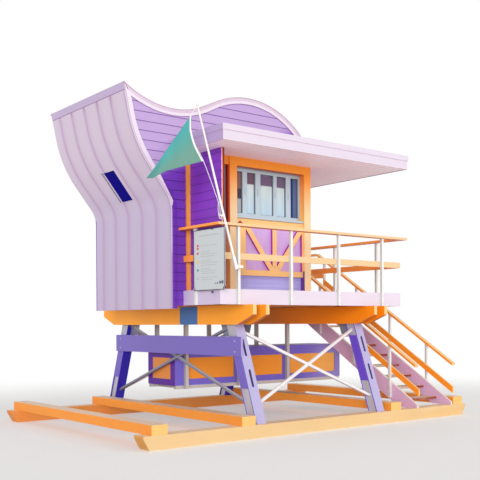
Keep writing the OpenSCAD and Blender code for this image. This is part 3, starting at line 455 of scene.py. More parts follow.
def keep(shape, faces):
    """Deletes all faces of a shape but these."""
    bmesh.ops.delete(shape, geom=[f for f in shape.faces if f not in faces], context="FACES")


def skin(node, facing, depth=0.001):
    """A loose copy of a CAD node's outermost flat face towards facing."""
    shell, facing = shell_of(node), Vector(facing)
    flat = {f: f.calc_center_median().dot(facing) for f in shell.faces
            if f.normal.dot(facing) > 0.99}
    outermost = max(flat.values()) - depth
    keep(shell, {f for f, reach in flat.items() if reach > outermost})
    return shell


def score(shape, axis, at, side=0):
    """Cuts a sheet across at a place on an axis. A side of 1 keeps only what lies past the cut,
    and -1 only what lies before it."""
    across = Vector()
    across[axis] = 1
    bmesh.ops.bisect_plane(shape, geom=shape.verts[:] + shape.edges[:] + shape.faces[:],
                           dist=0.00001, plane_co=across * at, plane_no=across * (side or 1),
                           clear_inner=side != 0)


def trim(shape, axis, low, high):
    """Keeps what lies between two places on an axis."""
    score(shape, axis, low, 1)
    score(shape, axis, high, -1)


def raise_boards(whole, strip, facing, rise):
    """Thickens a flat strip into closed boards and adds them to the whole. rise is their height,
    or gives the height over each point."""
    if strip.faces:
        grown = bmesh.ops.extrude_face_region(strip, geom=strip.faces[:] + strip.edges[:],
                                              use_keep_orig=True)
        for vert in grown["geom"]:
            if isinstance(vert, bmesh.types.BMVert):
                vert.co += Vector(facing) * (rise(vert.co) if callable(rise) else rise)
        bmesh.ops.recalc_face_normals(strip, faces=strip.faces[:])
        loose = bpy.data.meshes.new("loose")
        strip.to_mesh(loose)
        whole.from_mesh(loose)
        bpy.data.meshes.remove(loose)
    strip.free()


def rows(first, last, pitch, width=None):
    """The two edges of each board of a row, the last one cut to fit."""
    foot = first
    while foot < last:
        yield foot, min(foot + (width or pitch), last)
        foot += pitch


deck_low, deck_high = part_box("deck_floor")
deck_pitch, deck_board_w, deck_board_t = 0.144, 0.139, 0.003
deck_boards = bmesh.new()
for near, far in rows(deck_low.y + 0.02, deck_high.y - 0.01, deck_pitch, deck_board_w):
    strip = skin("deck_floor", (0, 0, 1))
    trim(strip, Y, near, far)
    score(strip, X, deck_low.x + 0.01, 1)
    raise_boards(deck_boards, strip, (0, 0, 1), deck_board_t)
piece("deck_boards", deck_boards, deck_coat)

floor_low, floor_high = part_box("floor_beams")
bolt_heights = (floor_low.z + 0.035, floor_low.z + 0.125)
beam_bolts = bmesh.new()
for x, way, places in ((floor_low.x, -1, (2.53, 2.81)), (floor_high.x, 1, (0.9, 2.53, 3.6))):
    bolts(beam_bolts, [(x, y, z) for y in places for z in bolt_heights], (way, 0, 0), 0.014)
piece("beam_bolts", beam_bolts, floor_coat)

# ---- Curved wall -----------------------------------------------------------------------------
# The left wall leans out in an S and carries the tip of the roof. Its plywood skin is painted
# lilac, with slim ribs over the panel joints and one slanted slot window.
wall_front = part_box("curved_wall")[0].y
last_rib, rib_pitch, rib_w, rib_h = 3.306, 0.4375, 0.056, 0.011
rib_lines = [last_rib - i * rib_pitch for i in range(5)]
lilac = Finish("lilac")
# The wall carries painted light and shade by side, and is painted paler towards the top.
lilac_colour = lilac.faces(front=(200, 184, 208), left=(188, 173, 199), top=(214, 198, 214),
                           under=(184, 168, 198))
lilac_colour = lilac.mix(lilac.ramp(lilac.z, 3.5, 4.2) * 0.6, lilac_colour, (208, 191, 204))
past_rib = ((lilac.y - rib_lines[-1] + 4 * rib_pitch) / rib_pitch).maths("FRACT")
# A painted shadow runs beside each rib line.
rib_shadow = lilac.ramp((past_rib - 0.5).maths("ABSOLUTE"), 0.36, 0.49) * 0.8
lilac_colour = lilac.mix(rib_shadow, lilac_colour, (178, 146, 186))
# A painted highlight runs down the near edge of the upper wall.
near_edge_highlight = lilac.fade(lilac.y, wall_front + 0.012, wall_front + 0.02) * 0.85
near_edge_highlight = near_edge_highlight * lilac.ramp(lilac.z, 2.8, 3.0)
lilac_colour = lilac.mix(near_edge_highlight, lilac_colour, (246, 234, 246))
# Each panel is painted a little lighter on one side of its ribs: painted light.
lit_side = lilac.ramp(past_rib, 0.06, 0.3) * lilac.fade(past_rib, 0.5, 0.95)
lilac.painted(lilac.scaled(lilac_colour, 0.985 + 0.05 * lit_side), Z, 0.45, 0.2, 0.06)
dress(lilac, "curved_wall")

wall_ribs = bmesh.new()
for line in rib_lines:
    rib = shell_of("curved_wall")
    keep(rib, {f for f in rib.faces if f.normal.x <= -0.7})
    trim(rib, Y, line - rib_w / 2, line + rib_w / 2)
    for share in (-0.3, -0.15, 0, 0.15, 0.3):
        score(rib, Y, line + share * rib_w)
    raise_boards(wall_ribs, rib, (-1, 0, 0),
                 lambda spot: 0.001 + rib_h * math.cos(math.pi * (spot.y - line) / rib_w) ** 2)
piece("wall_ribs", wall_ribs, lilac)

# ---- Gables and right wall -------------------------------------------------------------------
# The upright walls are clad with lapped boards, 145 mm to the weather, painted violet.
# The front gable is painted lavender as lit above the line of the flat roof's shadow, and deep
# violet below it as painted shadow.
lap, siding_foot = 0.145, deck_high.z + 0.005
upper_foot = siding_foot + 15 * lap
past_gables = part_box("front_gable_wall")[1].z + 0.1


def under_laps(finish, colour, shade, pitch=lap):
    """A thin dark line of shade and dirt under the lip of each lapped board."""
    past = ((finish.z - siding_foot) / pitch).maths("FRACT")
    return finish.mix(finish.ramp(past, 0.90, 0.97) * 0.75, colour, shade)


violet_front = Finish("violet_front")
# Lit and shaded copies of the violet, each with painted light and shade by side.
sunlit_violet = violet_front.faces(front=(192, 163, 214), left=(150, 96, 196), top=(212, 186, 230),
                           under=(120, 66, 170))
deep = violet_front.faces(front=(122, 62, 190), left=(100, 46, 165), top=(140, 90, 190),
                          under=(60, 20, 110))
# The sloping line of the flat roof's painted shadow across the gable.
shadow_line = violet_front.z - 0.35 * (violet_front.x + 2.0)
shadow_line = shadow_line + 0.05 * violet_front.noise((3, 3, 3), 2.0)
violet_front.painted(violet_front.mix(violet_front.ramp(shadow_line, 4.22, 4.5),
                                      under_laps(violet_front, deep, (58, 14, 112)),
                                      under_laps(violet_front, sunlit_violet, (134, 92, 168))),
                     X, 0.45, 0.25, 0.1)
dress(violet_front, "front_gable_wall")

violet_side = Finish("violet_side")
# Each side carries painted light and shade.
side_colour = violet_side.faces(front=(190, 156, 218), left=(126, 55, 184), top=(190, 156, 218),
                                under=(84, 34, 130), right=(182, 146, 214))
behind_frame = violet_side.fade(violet_side.y, 1.0, 1.05)
behind_frame = behind_frame * violet_side.ramp(violet_side.z, 3.4, 3.45)
side_colour = under_laps(violet_side, side_colour, (92, 44, 130))
violet_side.painted(violet_side.mix(behind_frame, side_colour, (150, 158, 168)),
                    Y, 0.45, 0.25, 0.12)
dress(violet_side, "rear_gable_wall", "right_wall", "window_wall")


def lap_siding(name, node, facing, finish, first, last, pitch=lap, lip=0.014, top=0.003,
               post=None, between=None):
    """Lapped boards over a wall's outer face, lip thick at their foot and top thick above. They
    stop at the two sides of a post, or fill only what lies between two places along X."""
    siding = bmesh.new()
    for foot, head in rows(first, last, pitch):
        strip = skin(node, facing)
        if post:
            score(strip, X, post[0])
            score(strip, X, post[1])
            keep(strip, {f for f in strip.faces
                         if not post[0] < f.calc_center_median().x < post[1]})
        trim(strip, Z, foot, head)
        if between:
            trim(strip, X, *between)
        raise_boards(siding, strip, facing,
                     lambda spot: lip + (top - lip) * (spot.z - foot) / pitch)
    piece(name, siding, finish)


post_low, post_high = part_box("corner_post")
lap_siding("gable_siding", "front_gable_wall", (0, -1, 0), violet_front, siding_foot, upper_foot,
           post=(post_low.x, post_high.x + 0.01))
lap_siding("upper_siding", "front_gable_wall", (0, -1, 0), violet_front, upper_foot, past_gables)
lap_siding("rear_siding", "rear_gable_wall", (0, 1, 0), violet_side, siding_foot, past_gables)
lap_siding("right_siding", "right_wall", (1, 0, 0), violet_side, siding_foot, past_gables)

# ---- Side door -------------------------------------------------------------------------------
# A painted plywood door with a glazed upper half closes the room on the right side.
# It hangs on three butt hinges and has a round knob on a plate.
# Each side carries painted light and shade.
timber_paint("door_coat", ["side_door"], Z, 0.4, 0.4, front=(246, 150, 74),
             left=(224, 120, 48), top=(246, 170, 104), right=(244, 148, 72))
door_low, door_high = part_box("side_door")
hinge_r, hinge_l, knob_height = 0.009, 0.09, 1.0
ironmongery = bmesh.new()
for z in (door_low.z + 0.2, (door_low.z + door_high.z) / 2, door_high.z - 0.2):
    pin = Matrix.Translation((door_high.x + 0.004, door_low.y + 0.01, z))
    cone(ironmongery, pin, -hinge_l / 2, hinge_l, hinge_r, hinge_r, 14)
knob_at = Matrix.Translation((door_high.x, door_high.y - 0.07, door_low.z + knob_height))
knob_at = knob_at @ Matrix.Rotation(math.radians(90), 4, "Y")
for foot, length, wide, narrow in ((0, 0.006, 0.032, 0.032), (0.004, 0.024, 0.011, 0.011),
                                   (0.026, 0.012, 0.014, 0.026), (0.038, 0.012, 0.026, 0.018)):
    cone(ironmongery, knob_at, foot, length, wide, narrow, 24)
piece("door_ironmongery", ironmongery, galvanised)

# ---- Wave roof -------------------------------------------------------------------------------
# Bent plywood follows the wave from the tip of the curved wall over the crest to the flat roof.
# A painted sheet covers it, and pale edge boards with thin cappings finish both gables.
roof_coat = Finish("roof_coat")
# Each side carries painted light and shade.
roof_colour = roof_coat.faces(front=(214, 178, 204), left=(186, 167, 198), top=(226, 208, 220),
                              under=(170, 140, 178), right=(220, 200, 216))
damp = roof_coat.ramp(roof_coat.noise((1.5, 0.7, 1.5), 6.0, 0.65), 0.5, 0.72) * 0.25
roof_coat.painted(roof_coat.mix(damp, roof_colour, (190, 176, 190)), Y, 0.5, 0.2)
dress(roof_coat, "wave_roof")

# The foot of the curved wall's edge board is painted with the siding's violet in painted shadow,
# up to a slanting line. Its other faces carry painted light and shade by side.
edge_coat = Finish("edge_coat")
edge_white = edge_coat.faces(front=(236, 222, 236), left=(204, 186, 208), top=(246, 234, 242),
                             under=(190, 160, 190), right=(226, 208, 226))
wall_edge = edge_coat.x + 2.222
leaning_edge = edge_coat.x + 2.296 + 0.8 * (edge_coat.z - 3.8)
from_outside = edge_coat.node("ShaderNodeMath", {"operation": "MAXIMUM"},
                              {0: leaning_edge, 1: wall_edge})
low_edge = edge_coat.fade(edge_coat.z - 5.1 * from_outside, 3.66, 3.69)
low_edge = low_edge * edge_coat.fade(edge_coat.x, -1.95, -1.9)
low_edge = low_edge * edge_coat.fade(edge_coat.z, 4.2, 4.22)
siding_violet_in_shade = under_laps(edge_coat, (112, 52, 178), (62, 18, 116))
edge_coat.painted(edge_coat.mix(low_edge, edge_white, siding_violet_in_shade), Z, 0.4, 0.2, 0.06)
dress(edge_coat, "edge_boards")


def border(shape, width):
    """Marks off a border round a sheet's edge and gives its faces."""
    return bmesh.ops.inset_region(shape, faces=shape.faces[:], thickness=width,
                                  use_boundary=True, use_even_offset=True)["faces"]


def on_crest(face):
    """Says whether a face of the border lies along the roof's upper edge."""
    rim = next((e for e in face.edges if e.is_boundary), None)
    if rim is None or face.calc_center_median().z < 4.6:
        return False
    outwards = (rim.verts[0].co + rim.verts[1].co) / 2 - face.calc_center_median()
    return outwards.normalized().z > 0.72


# Each side carries painted light and shade.
capping_coat = timber_paint("capping_coat", [], X, 0.42, 0.3, 0.06, front=(222, 200, 218),
                            left=(214, 192, 214), top=(232, 216, 228), right=(214, 192, 214))
capping_w, capping_t = 0.044, 0.004
roof_cappings = bmesh.new()
for facing in ((0, -1, 0), (0, 1, 0)):
    strip = skin("edge_boards", facing)
    bmesh.ops.dissolve_limit(strip, angle_limit=0.01, verts=strip.verts, edges=strip.edges)
    keep(strip, [f for f in border(strip, capping_w) if on_crest(f)])
    raise_boards(roof_cappings, strip, facing, capping_t)
piece("roof_cappings", roof_cappings, capping_coat)

# ---- Flat roof -------------------------------------------------------------------------------
# A flat roof shades the bay and the deck round the right side. Its edge is a two-step fascia,
# and narrow boards with fine open joints line its underside.
flat_low, flat_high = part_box("flat_roof")
soffit_pitch, soffit_w, soffit_t = 0.14, 0.137, 0.006
soffit_coat = Finish("soffit_coat")
# Each side carries painted light and shade, and the underside is painted paler towards its far end.
soffit_pink = soffit_coat.faces(front=(236, 214, 228), left=(200, 168, 190),
                                top=(214, 204, 208), under=(255, 230, 242))
underside = soffit_coat.side("down")
far_end = soffit_coat.ramp(soffit_coat.x, 0.2, 1.8) * underside * 0.7
soffit_pink = soffit_coat.mix(far_end, soffit_pink, (254, 236, 246))
past_board = ((soffit_coat.y - flat_low.y) / soffit_pitch).maths("FRACT")
open_joint = soffit_coat.ramp(past_board, 0.9, 0.95) * underside * 0.55
soffit_coat.painted(soffit_coat.mix(open_joint, soffit_pink, (196, 140, 164)),
                    X, 0.45, 0.1, 0.1)
dress(soffit_coat, "flat_roof")

rim_coat = Finish("rim_coat")
# Each side carries painted light and shade.
rim_colour = rim_coat.faces(front=(224, 211, 225), left=(178, 154, 198), top=(244, 234, 242),
                            under=(216, 186, 200), right=(226, 206, 226))
# A painted shadow line along the underside at the far end of the rim.
far_rim_shadow = rim_coat.ramp(rim_coat.x, flat_high.x - 0.03, flat_high.x - 0.02)
far_rim_shadow = far_rim_shadow * rim_coat.side("down") * 0.8
rim_coat.painted(rim_coat.mix(far_rim_shadow, rim_colour, (124, 86, 128)), X, 0.4, 0.35, 0.06)
dress(rim_coat, "flat_roof_fascia")

soffit_boards = bmesh.new()
for near, far in rows(flat_low.y, flat_high.y, soffit_pitch, soffit_w):
    strip = skin("flat_roof", (0, 0, -1))
    trim(strip, Y, near, far)
    raise_boards(soffit_boards, strip, (0, 0, -1), soffit_t)
piece("soffit_boards", soffit_boards, soffit_coat)

# ---- Window bay ------------------------------------------------------------------------------
# The bay stands out from the gable between a violet left wall and a deep orange surround.
# Below the window a panel is braced with a V of orange boards, above lapped violet boards.
bay_lap, bay_wall_high = 0.14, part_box("bay_left_wall")[1]
bay_coat = Finish("bay_coat")
# Each side carries painted light and shade.
bay_colour = bay_coat.faces(front=(222, 196, 220), left=(130, 56, 186), top=(190, 156, 218),
                            under=(84, 34, 130))
glow = bay_coat.ramp(bay_coat.noise((0.1, 1.2, 0.5), 2.0), 0.4, 0.7) * 0.35
bay_colour = bay_coat.mix(glow * bay_coat.side("left"), bay_colour, (142, 60, 196))
bay_colour = under_laps(bay_coat, bay_colour, (84, 30, 140), bay_lap)
# The front edge is pale peach, with a maroon strip beside the surround painted as the recess's
# shadow.
recess_shadow = bay_coat.ramp(bay_coat.x, bay_wall_high.x - 0.042, bay_wall_high.x - 0.036)
end_trim_and_recess_shade = bay_coat.mix(recess_shadow, (255, 206, 172), (150, 30, 44))
bay_coat.painted(bay_coat.mix(bay_coat.side("front"), bay_colour, end_trim_and_recess_shade), Y, 0.45, 0.2, 0.1)
dress(bay_coat, "bay_left_wall")
lap_siding("bay_siding", "bay_left_wall", (-1, 0, 0), bay_coat, siding_foot,
           bay_wall_high.z - 0.02, bay_lap, 0.008)

# The surround is pale orange where lit below and deep orange in the eaves' painted shadow above,
# each side with painted light and shade. A groove down the left jamb is painted red and maroon
# as painted shade, and the right jamb's left face is painted like the panel beside it and below it.
surround_coat = Finish("surround_coat")
sunlit_orange = surround_coat.faces(front=(250, 216, 168), left=(255, 188, 100),
                                 top=(252, 200, 140), under=(214, 96, 24), right=(246, 160, 90))
eave_shaded_orange = surround_coat.faces(front=(255, 154, 46), left=(255, 140, 62),
                                  top=(250, 160, 80), under=(196, 84, 20), right=(240, 140, 70))
height = surround_coat.z + 0.08 * surround_coat.noise((2, 2, 2), 2.0)
surround_colour = surround_coat.mix(surround_coat.ramp(height, 3.5, 4.4), sunlit_orange,
                                    eave_shaded_orange)
to_left, left_jamb = surround_coat.side("left"), surround_coat.fade(surround_coat.x, -1.2, -1.1)
# The groove's red and maroon are painted shade.
groove_shade = surround_coat.ramp(surround_coat.z, 3.28, 3.36)
groove_shade = groove_shade * surround_coat.fade(surround_coat.z, 4.34, 4.38) * left_jamb * to_left
surround_low, surround_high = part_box("window_surround")
jamb_middle = (surround_low.y + surround_high.y) / 2
set_back = surround_coat.ramp(surround_coat.y, jamb_middle - 0.004, jamb_middle + 0.004)
groove_shade_colours = surround_coat.mix(set_back, (255, 92, 20), (150, 24, 30))
surround_colour = surround_coat.mix(groove_shade, surround_colour, groove_shade_colours)
# The right jamb's left face: violet painted shade below, pale orange above.
right_jamb = surround_coat.fade(surround_coat.z, 3.42, 3.46) * (1 - left_jamb) * to_left
beside_panel = surround_coat.ramp(surround_coat.z, 2.64, 2.66)
jamb_paint = surround_coat.mix(beside_panel, (112, 64, 156), (255, 206, 136))
surround_coat.painted(surround_coat.mix(right_jamb, surround_colour, jamb_paint), Z, 0.4, 0.3)
dress(surround_coat, "window_surround")
# Each side carries painted light and shade.
timber_paint("post_orange", ["corner_post"], Z, 0.42, 0.2, 0.06,
             front=(255, 176, 78), left=(255, 150, 60), top=(250, 170, 90))

# Truss boards stand proud of the panel. Their sides are painted magenta as painted shade,
# and their tops and right sides carry painted light and shade.
truss_low, truss_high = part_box("panel_truss")
panel_y = truss_high.y - 0.022
truss_coat = Finish("truss_coat")
board = truss_coat.mix(truss_coat.side("front"), (182, 20, 172), (255, 204, 136))
board = truss_coat.mix(truss_coat.side("up", 0.95, 0.99), board, (253, 208, 150))
board = truss_coat.mix(truss_coat.side("right", 0.3, 0.7), board, (240, 160, 100))
panel_colour = truss_coat.mix(truss_coat.noise((22, 22, 2), 5.0), (202, 160, 224),
                              (222, 188, 240))
proud = truss_coat.ramp(panel_y - truss_coat.y, 0.002, 0.005)
truss_coat.painted(truss_coat.mix(proud, panel_colour, board), X, 0.42, 0.25, 0.08)
dress(truss_coat, "panel_truss")

# Each side carries painted light and shade.
apron_coat = timber_paint("apron_coat", [], X, 0.45, 0.25, front=(186, 184, 250),
                          left=(110, 60, 180), top=(190, 176, 232), under=(92, 58, 170))
lap_siding("apron_siding", "window_wall", (0, -1, 0), apron_coat, siding_foot, truss_low.z,
           0.068, 0.012, between=(truss_low.x, truss_high.x))

truss_middle = -0.4095
nail_spots = ((-0.09, 0.145), (0, 0.15), (0.09, 0.145), (-0.6, 0.89), (0.6, 0.89), (0, 0.89),
              (-0.72, 0.05), (0.62, 0.05), (-0.72, 0.89))
truss_nails = bmesh.new()
bolts(truss_nails, [(truss_middle + x, truss_low.y, truss_low.z + z) for x, z in nail_spots],
      (0, -1, 0), 0.009)
piece("truss_nails", truss_nails, galvanised)

# ---- Windows ---------------------------------------------------------------------------------
# Mill-finish aluminium frames hold the bay panes between wide sash stiles, with dark rubber
# gaskets. The panes carry painted reflections of pale daylight below and the shaded roof lining
# above.
aluminium = Finish("aluminium")
# Each side carries painted light and shade.
alu_grey = aluminium.faces(front=(187, 202, 212), left=(156, 168, 178), top=(214, 224, 228),
                           under=(120, 128, 134))
aluminium.coated(alu_grey, aluminium.noise((3, 3, 60)), (0.96, 0.08), (0.34, 0.1),
                 (0.05, 0.001), metallic=0.3)
dress(aluminium, "window_frames")

glass = Finish("glass")
# The glass colours are painted reflections in bands and streaks, with the slot window painted dark
# and the other windows painted paler below and darker above.
wave = glass.noise((2.2, 2.2, 1.4), 3.0)
height = glass.z + 0.03 * wave
shown = glass.mix(glass.ramp(height, 3.6, 4.1), (192, 219, 234), (210, 224, 222))
reflected_streaks = glass.ramp(glass.noise((7, 1, 0.8), 3.0), 0.45, 0.6) * 0.4
shown = glass.mix(reflected_streaks, shown, (178, 198, 208))
lining_reflection = glass.ramp(height, 4.07, 4.09) * glass.fade(height, 4.25, 4.26)
shown = glass.mix(lining_reflection, shown, (118, 100, 128))
first_pane = glass.mix(glass.ramp(height, 3.98, 4.0), (78, 74, 92), (146, 112, 106))
first_pane = glass.mix(glass.ramp(height, 3.8, 3.84), (178, 190, 198), first_pane)
shown = glass.mix(glass.fade(glass.x, -1.0, -0.99), shown, first_pane)
second_pane = glass.ramp(glass.x, -1.0, -0.99) * glass.fade(glass.x, -0.72, -0.71)
shown = glass.mix(second_pane * lining_reflection, shown, (118, 92, 108))
last_pane = glass.mix(glass.ramp(glass.x, 0.09, 0.11), (44, 62, 122), (92, 110, 150))
shown = glass.mix(glass.ramp(glass.x, 0.0, 0.01), shown, last_pane)
shown = glass.mix(glass.fade(glass.x, -2.2, -2.1), shown, (14, 6, 124))
rear_panes = glass.mix(glass.ramp(glass.z, 3.5, 4.3), (150, 176, 190), (92, 104, 124))
hidden = glass.ramp(glass.y, 1.0, 1.1) * glass.ramp(glass.x, -2.1, -2.0)
glass.feed(Base_Color=glass.mix(hidden, shown, rear_panes), Roughness=0.06 + 0.05 * wave,
           Specular_IOR_Level=0.0, Coat_Weight=0.06, Coat_Roughness=0.03)
dress(glass, "window_glass")

rubber = Finish("rubber")
# Each side carries painted light and shade.
rubber_black = rubber.faces(front=(58, 64, 86), left=(48, 50, 72), top=(70, 74, 90))
rubber.feed(Base_Color=rubber.scaled(rubber_black, 0.9 + 0.2 * rubber.noise((12, 12, 12), 3.0)),
            Roughness=0.6)
rubber.relief(rubber.noise((80, 80, 80), 2.0), 0.1, 0.001)


def surround(shape, low, high, facing, width, thick):
    """A strip round the edge of an upright oblong between two opposite corners."""
    facing, low, high = Vector(facing), Vector(low), Vector(high)
    across = Vector((0, 0, 1)).cross(facing)
    half_w, half_h = abs((high - low).dot(across)) / 2, (high.z - low.z) / 2
    upright = Matrix([across, (0, 0, 1), facing]).transposed().to_4x4()
    ring = bmesh.new()
    bmesh.ops.create_grid(ring, x_segments=1, y_segments=1, size=1,
                          matrix=Matrix.Translation((low + high) / 2) @ upright
                          @ Matrix.Diagonal((half_w, half_h, 1, 1)))
    keep(ring, border(ring, width))
    raise_boards(shape, ring, facing, thick)


gasket_w, gasket_t = 0.009, 0.004
casing_w, casing_t, casing_lap = 0.07, 0.012, 0.1
gaskets, casings = bmesh.new(), bmesh.new()
for low, high in solids_of("window_glass"):
    size = high - low
    if size.x < 0.02:
        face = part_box("right_wall")[1].x + 0.014
        surround(gaskets, (high.x, low.y, low.z), high, (1, 0, 0), gasket_w, gasket_t)
        surround(casings, (face, low.y - casing_lap, low.z - casing_lap),
                 (face, high.y + casing_lap, high.z + casing_lap), (1, 0, 0), casing_w, casing_t)
    elif size.y < 0.02 and low.y < 1.0:
        surround(gaskets, low, (high.x, low.y, high.z), (0, -1, 0), gasket_w, gasket_t)
    elif size.y < 0.02:
        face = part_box("rear_gable_wall")[1].y + 0.014
        surround(gaskets, (low.x, high.y, low.z), high, (0, 1, 0), gasket_w, gasket_t)
        surround(casings, (low.x - casing_lap, face, low.z - casing_lap),
                 (high.x + casing_lap, face, high.z + casing_lap), (0, 1, 0), casing_w, casing_t)

# The slot window's far jamb shows its lilac lining, with a dark seal behind.
slot_lining = bmesh.new()
for near, far, whole, thick in ((2.505, 2.546, slot_lining, 0.006), (2.546, 2.6, gaskets, 0.008)):
    jamb = shell_of("window_glass")
    keep(jamb, {f for f in jamb.faces
                if f.calc_center_median().x <= -2.2 and f.normal.x <= -0.5})
    trim(jamb, Y, near, far)
    raise_boards(whole, jamb, (-1, 0, 0), thick)
piece("window_gaskets", gaskets, rubber)
piece("slot_lining", slot_lining, lilac)

catch_y, catch_z, catch_size = 0.784, 3.93, (0.014, 0.012, 0.11)
catches = bmesh.new()
for x in (-0.985, -0.71, -0.33, -0.03):
    block(catches, (x, catch_y, catch_z), catch_size, 0.003)
piece("sash_catches", catches, aluminium)

# Each side carries painted light and shade.
casing_coat = timber_paint("casing_coat", [], Z, 0.42, 0.4, front=(250, 170, 96),
                           left=(226, 122, 66), top=(252, 200, 140), right=(248, 166, 92))
piece("window_casings", casings, casing_coat)

# ---- Railings --------------------------------------------------------------------------------
# Square steel posts painted white stand outside the fascia and carry flat orange timber rails.
# Each post is bolted through the fascia and screwed to the rails.
post_white = Finish("post_white")
# The posts and the rails carry painted light and shade on each side.
post_colour = post_white.faces(front=(244, 240, 236), left=(204, 208, 206), top=(244, 240, 236),
                               under=(190, 186, 184), right=(226, 222, 220))
bleed = post_white.ramp(post_white.noise((18, 18, 5), 6.0, 0.7), 0.64, 0.74) * 0.4
post_white.coated(post_colour, post_white.noise((14, 14, 3), 5.0), (0.96, 0.06), (0.34, 0.2),
                  (0.08, 0.002), stain=(bleed, (206, 160, 120)))
dress(post_white, "railing_posts", "stair_posts")
timber_paint("rail_coat", ["top_rails", "mid_rails"], X, 0.42, 0.45, front=(238, 202, 153),
             left=(255, 154, 66), top=(253, 214, 160), under=(216, 108, 36),
             right=(248, 176, 104))

# Posts on the left and right edges and beside the stair are bolted along X, the rest along Y.
rail_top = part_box("top_rails")[1].z
post_bolts = bmesh.new()
for low, high in solids_of("railing_posts"):
    middle = (low + high) / 2
    heights = (low.z + 0.05, low.z + 0.17)
    if middle.x < -1.9 or middle.x > 3.2 or abs(middle.x - 2.1) < 0.1:
        x, way = (low.x, -1) if middle.x < 0 else (high.x, 1)
        bolts(post_bolts, [(x, middle.y, z) for z in heights], (way, 0, 0), 0.013)
    else:
        y, way = (low.y, -1) if middle.y < 2 else (high.y, 1)
        bolts(post_bolts, [(middle.x, y, z) for z in heights], (0, way, 0), 0.013)
    bolts(post_bolts, [(middle.x + side, middle.y, rail_top) for side in (-0.04, 0.04)],
          (0, 0, 1), 0.009)
piece("post_bolts", post_bolts, post_white)

# A moulded clip on the top rail holds the pole's lashing.
red_plastic = Finish("red_plastic")
bleached = red_plastic.noise((30, 30, 30))
red_plastic.feed(Base_Color=red_plastic.mix(bleached, (150, 22, 44), (186, 44, 56)),
                 Roughness=0.4 + 0.2 * bleached)
red_plastic.relief(bleached, 0.1, 0.001)
rail_clip = bmesh.new()
for size, lift in (((0.075, 0.05, 0.022), 0.011), ((0.03, 0.03, 0.024), 0.033)):
    block(rail_clip, (-1.635, 0.105, rail_top + lift), size, 0.005)
piece("rail_clip", rail_clip, red_plastic)

# ---- Stair -----------------------------------------------------------------------------------
# Two deep mauve stringers carry ten open treads from the skid up to the rear deck.
# The upper edges are painted cream as painted light and the undersides dark as painted shade,
# and orange handrails follow the slope on white posts.
stringer_coat = Finish("stringer_coat")
mauve = stringer_coat.faces(front=(236, 222, 214), left=(219, 179, 213), top=(244, 236, 222),
                            under=(150, 92, 122), right=(206, 164, 188))
mauve = stringer_coat.mix(stringer_coat.side("up", 0.3, 0.6), mauve, (244, 234, 222))
mauve = stringer_coat.mix(stringer_coat.side("down", 0.3, 0.6), mauve, (150, 92, 122))
stringer_coat.painted(mauve, Y, 0.45)
dress(stringer_coat, "stair_stringers")

treads_low, treads_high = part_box("stair_treads")
tread_middle = (treads_low.x + treads_high.x) / 2
tread_coat = Finish("tread_coat")
# The tread fronts are painted dark red as painted shade, cream at the lit end of the upper treads,
# and the undersides dark red as painted shade.
lit_end = tread_coat.fade(tread_coat.x, tread_middle, tread_middle + 0.2)
lit_end = lit_end * tread_coat.ramp(tread_coat.z, treads_low.z + 0.1, treads_low.z + 0.15)
nosing = tread_coat.mix(1 - lit_end, (222, 200, 184), (164, 66, 46))
tread_colour = tread_coat.faces(front=nosing, left=(200, 160, 150), top=(236, 218, 200),
                                under=(142, 62, 46))
trodden = tread_coat.ramp(tread_coat.noise((3, 12, 12), 5.0, 0.65), 0.45, 0.65) * 0.4
tread_coat.painted(tread_coat.mix(trodden, tread_colour, (206, 184, 166)), X, 0.6, 0.6)
dress(tread_coat, "stair_treads")

handrail_coat = Finish("handrail_coat")
# Each side carries painted light and shade, the tops paler.
hand_orange = handrail_coat.faces(front=(253, 196, 124), left=(255, 150, 32),
                                  top=(252, 206, 142), under=(206, 98, 28),
                                  right=(250, 180, 104))
hand_orange = handrail_coat.mix(handrail_coat.side("up", 0.3, 0.6), hand_orange,
                                (252, 206, 142))
handrail_coat.painted(hand_orange, Y, 0.42, 0.45)
dress(handrail_coat, "stair_handrails")

stair_bolts = bmesh.new()
for low, high in solids_of("stair_posts"):
    x, way = (low.x, -1) if low.x < 2.7 else (high.x, 1)
    bolts(stair_bolts, [(x, (low.y + high.y) / 2, low.z + lift) for lift in (0.06, 0.17)],
          (way, 0, 0), 0.013)
stringers_low, stringers_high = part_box("stair_stringers")
for low, high in solids_of("stair_treads"):
    for x, way in ((stringers_low.x, -1), (stringers_high.x, 1)):
        bolts(stair_bolts, [(x, y, (low.z + high.z) / 2) for y in (low.y + 0.07, high.y - 0.07)],
              (way, 0, 0), 0.009)
piece("stair_bolts", stair_bolts, galvanised)

# ---- Plank, plate and notice board -----------------------------------------------------------
# A long violet plank is bolted across the left legs, and a small enamelled plate sits above it.
# The notice board is a printed aluminium sheet with a dark edging strip, clipped to its post.
# Each side carries painted light and shade.
timber_paint("plank_coat", ["name_plank"], Y, 0.42, 0.4, 0.1, front=(176, 160, 220),
             left=(122, 107, 191), top=(190, 176, 228), under=(90, 64, 150))


def corner_screws(name, node, in_y, in_z, radius):
    """A bolt or screw near each corner of a plate that faces left."""
    low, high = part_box(node)
    screws = bmesh.new()
    bolts(screws, [(low.x, y, z) for y in (low.y + in_y, high.y - in_y)
                   for z in (low.z + in_z, high.z - in_z)], (-1, 0, 0), radius)
    piece(name, screws, galvanised)


corner_screws("plank_bolts", "name_plank", 0.16, 0.07, 0.014)
enamel = Finish("enamel")
# Each side carries painted light and shade.
plate_blue = enamel.faces(front=(60, 110, 170), left=(40, 96, 164), top=(90, 130, 180))
enamel.coated(plate_blue, enamel.noise((5, 5, 5), 3.0), (0.94, 0.12), (0.25, 0.15),
              (0.06, 0.001), stain=(enamel.edges(0.006) * 0.5, (180, 196, 214)))
dress(enamel, "number_plate")
corner_screws("plate_screws", "number_plate", 0.025, 0.025, 0.006)

sheet_white = Finish("sheet_white")
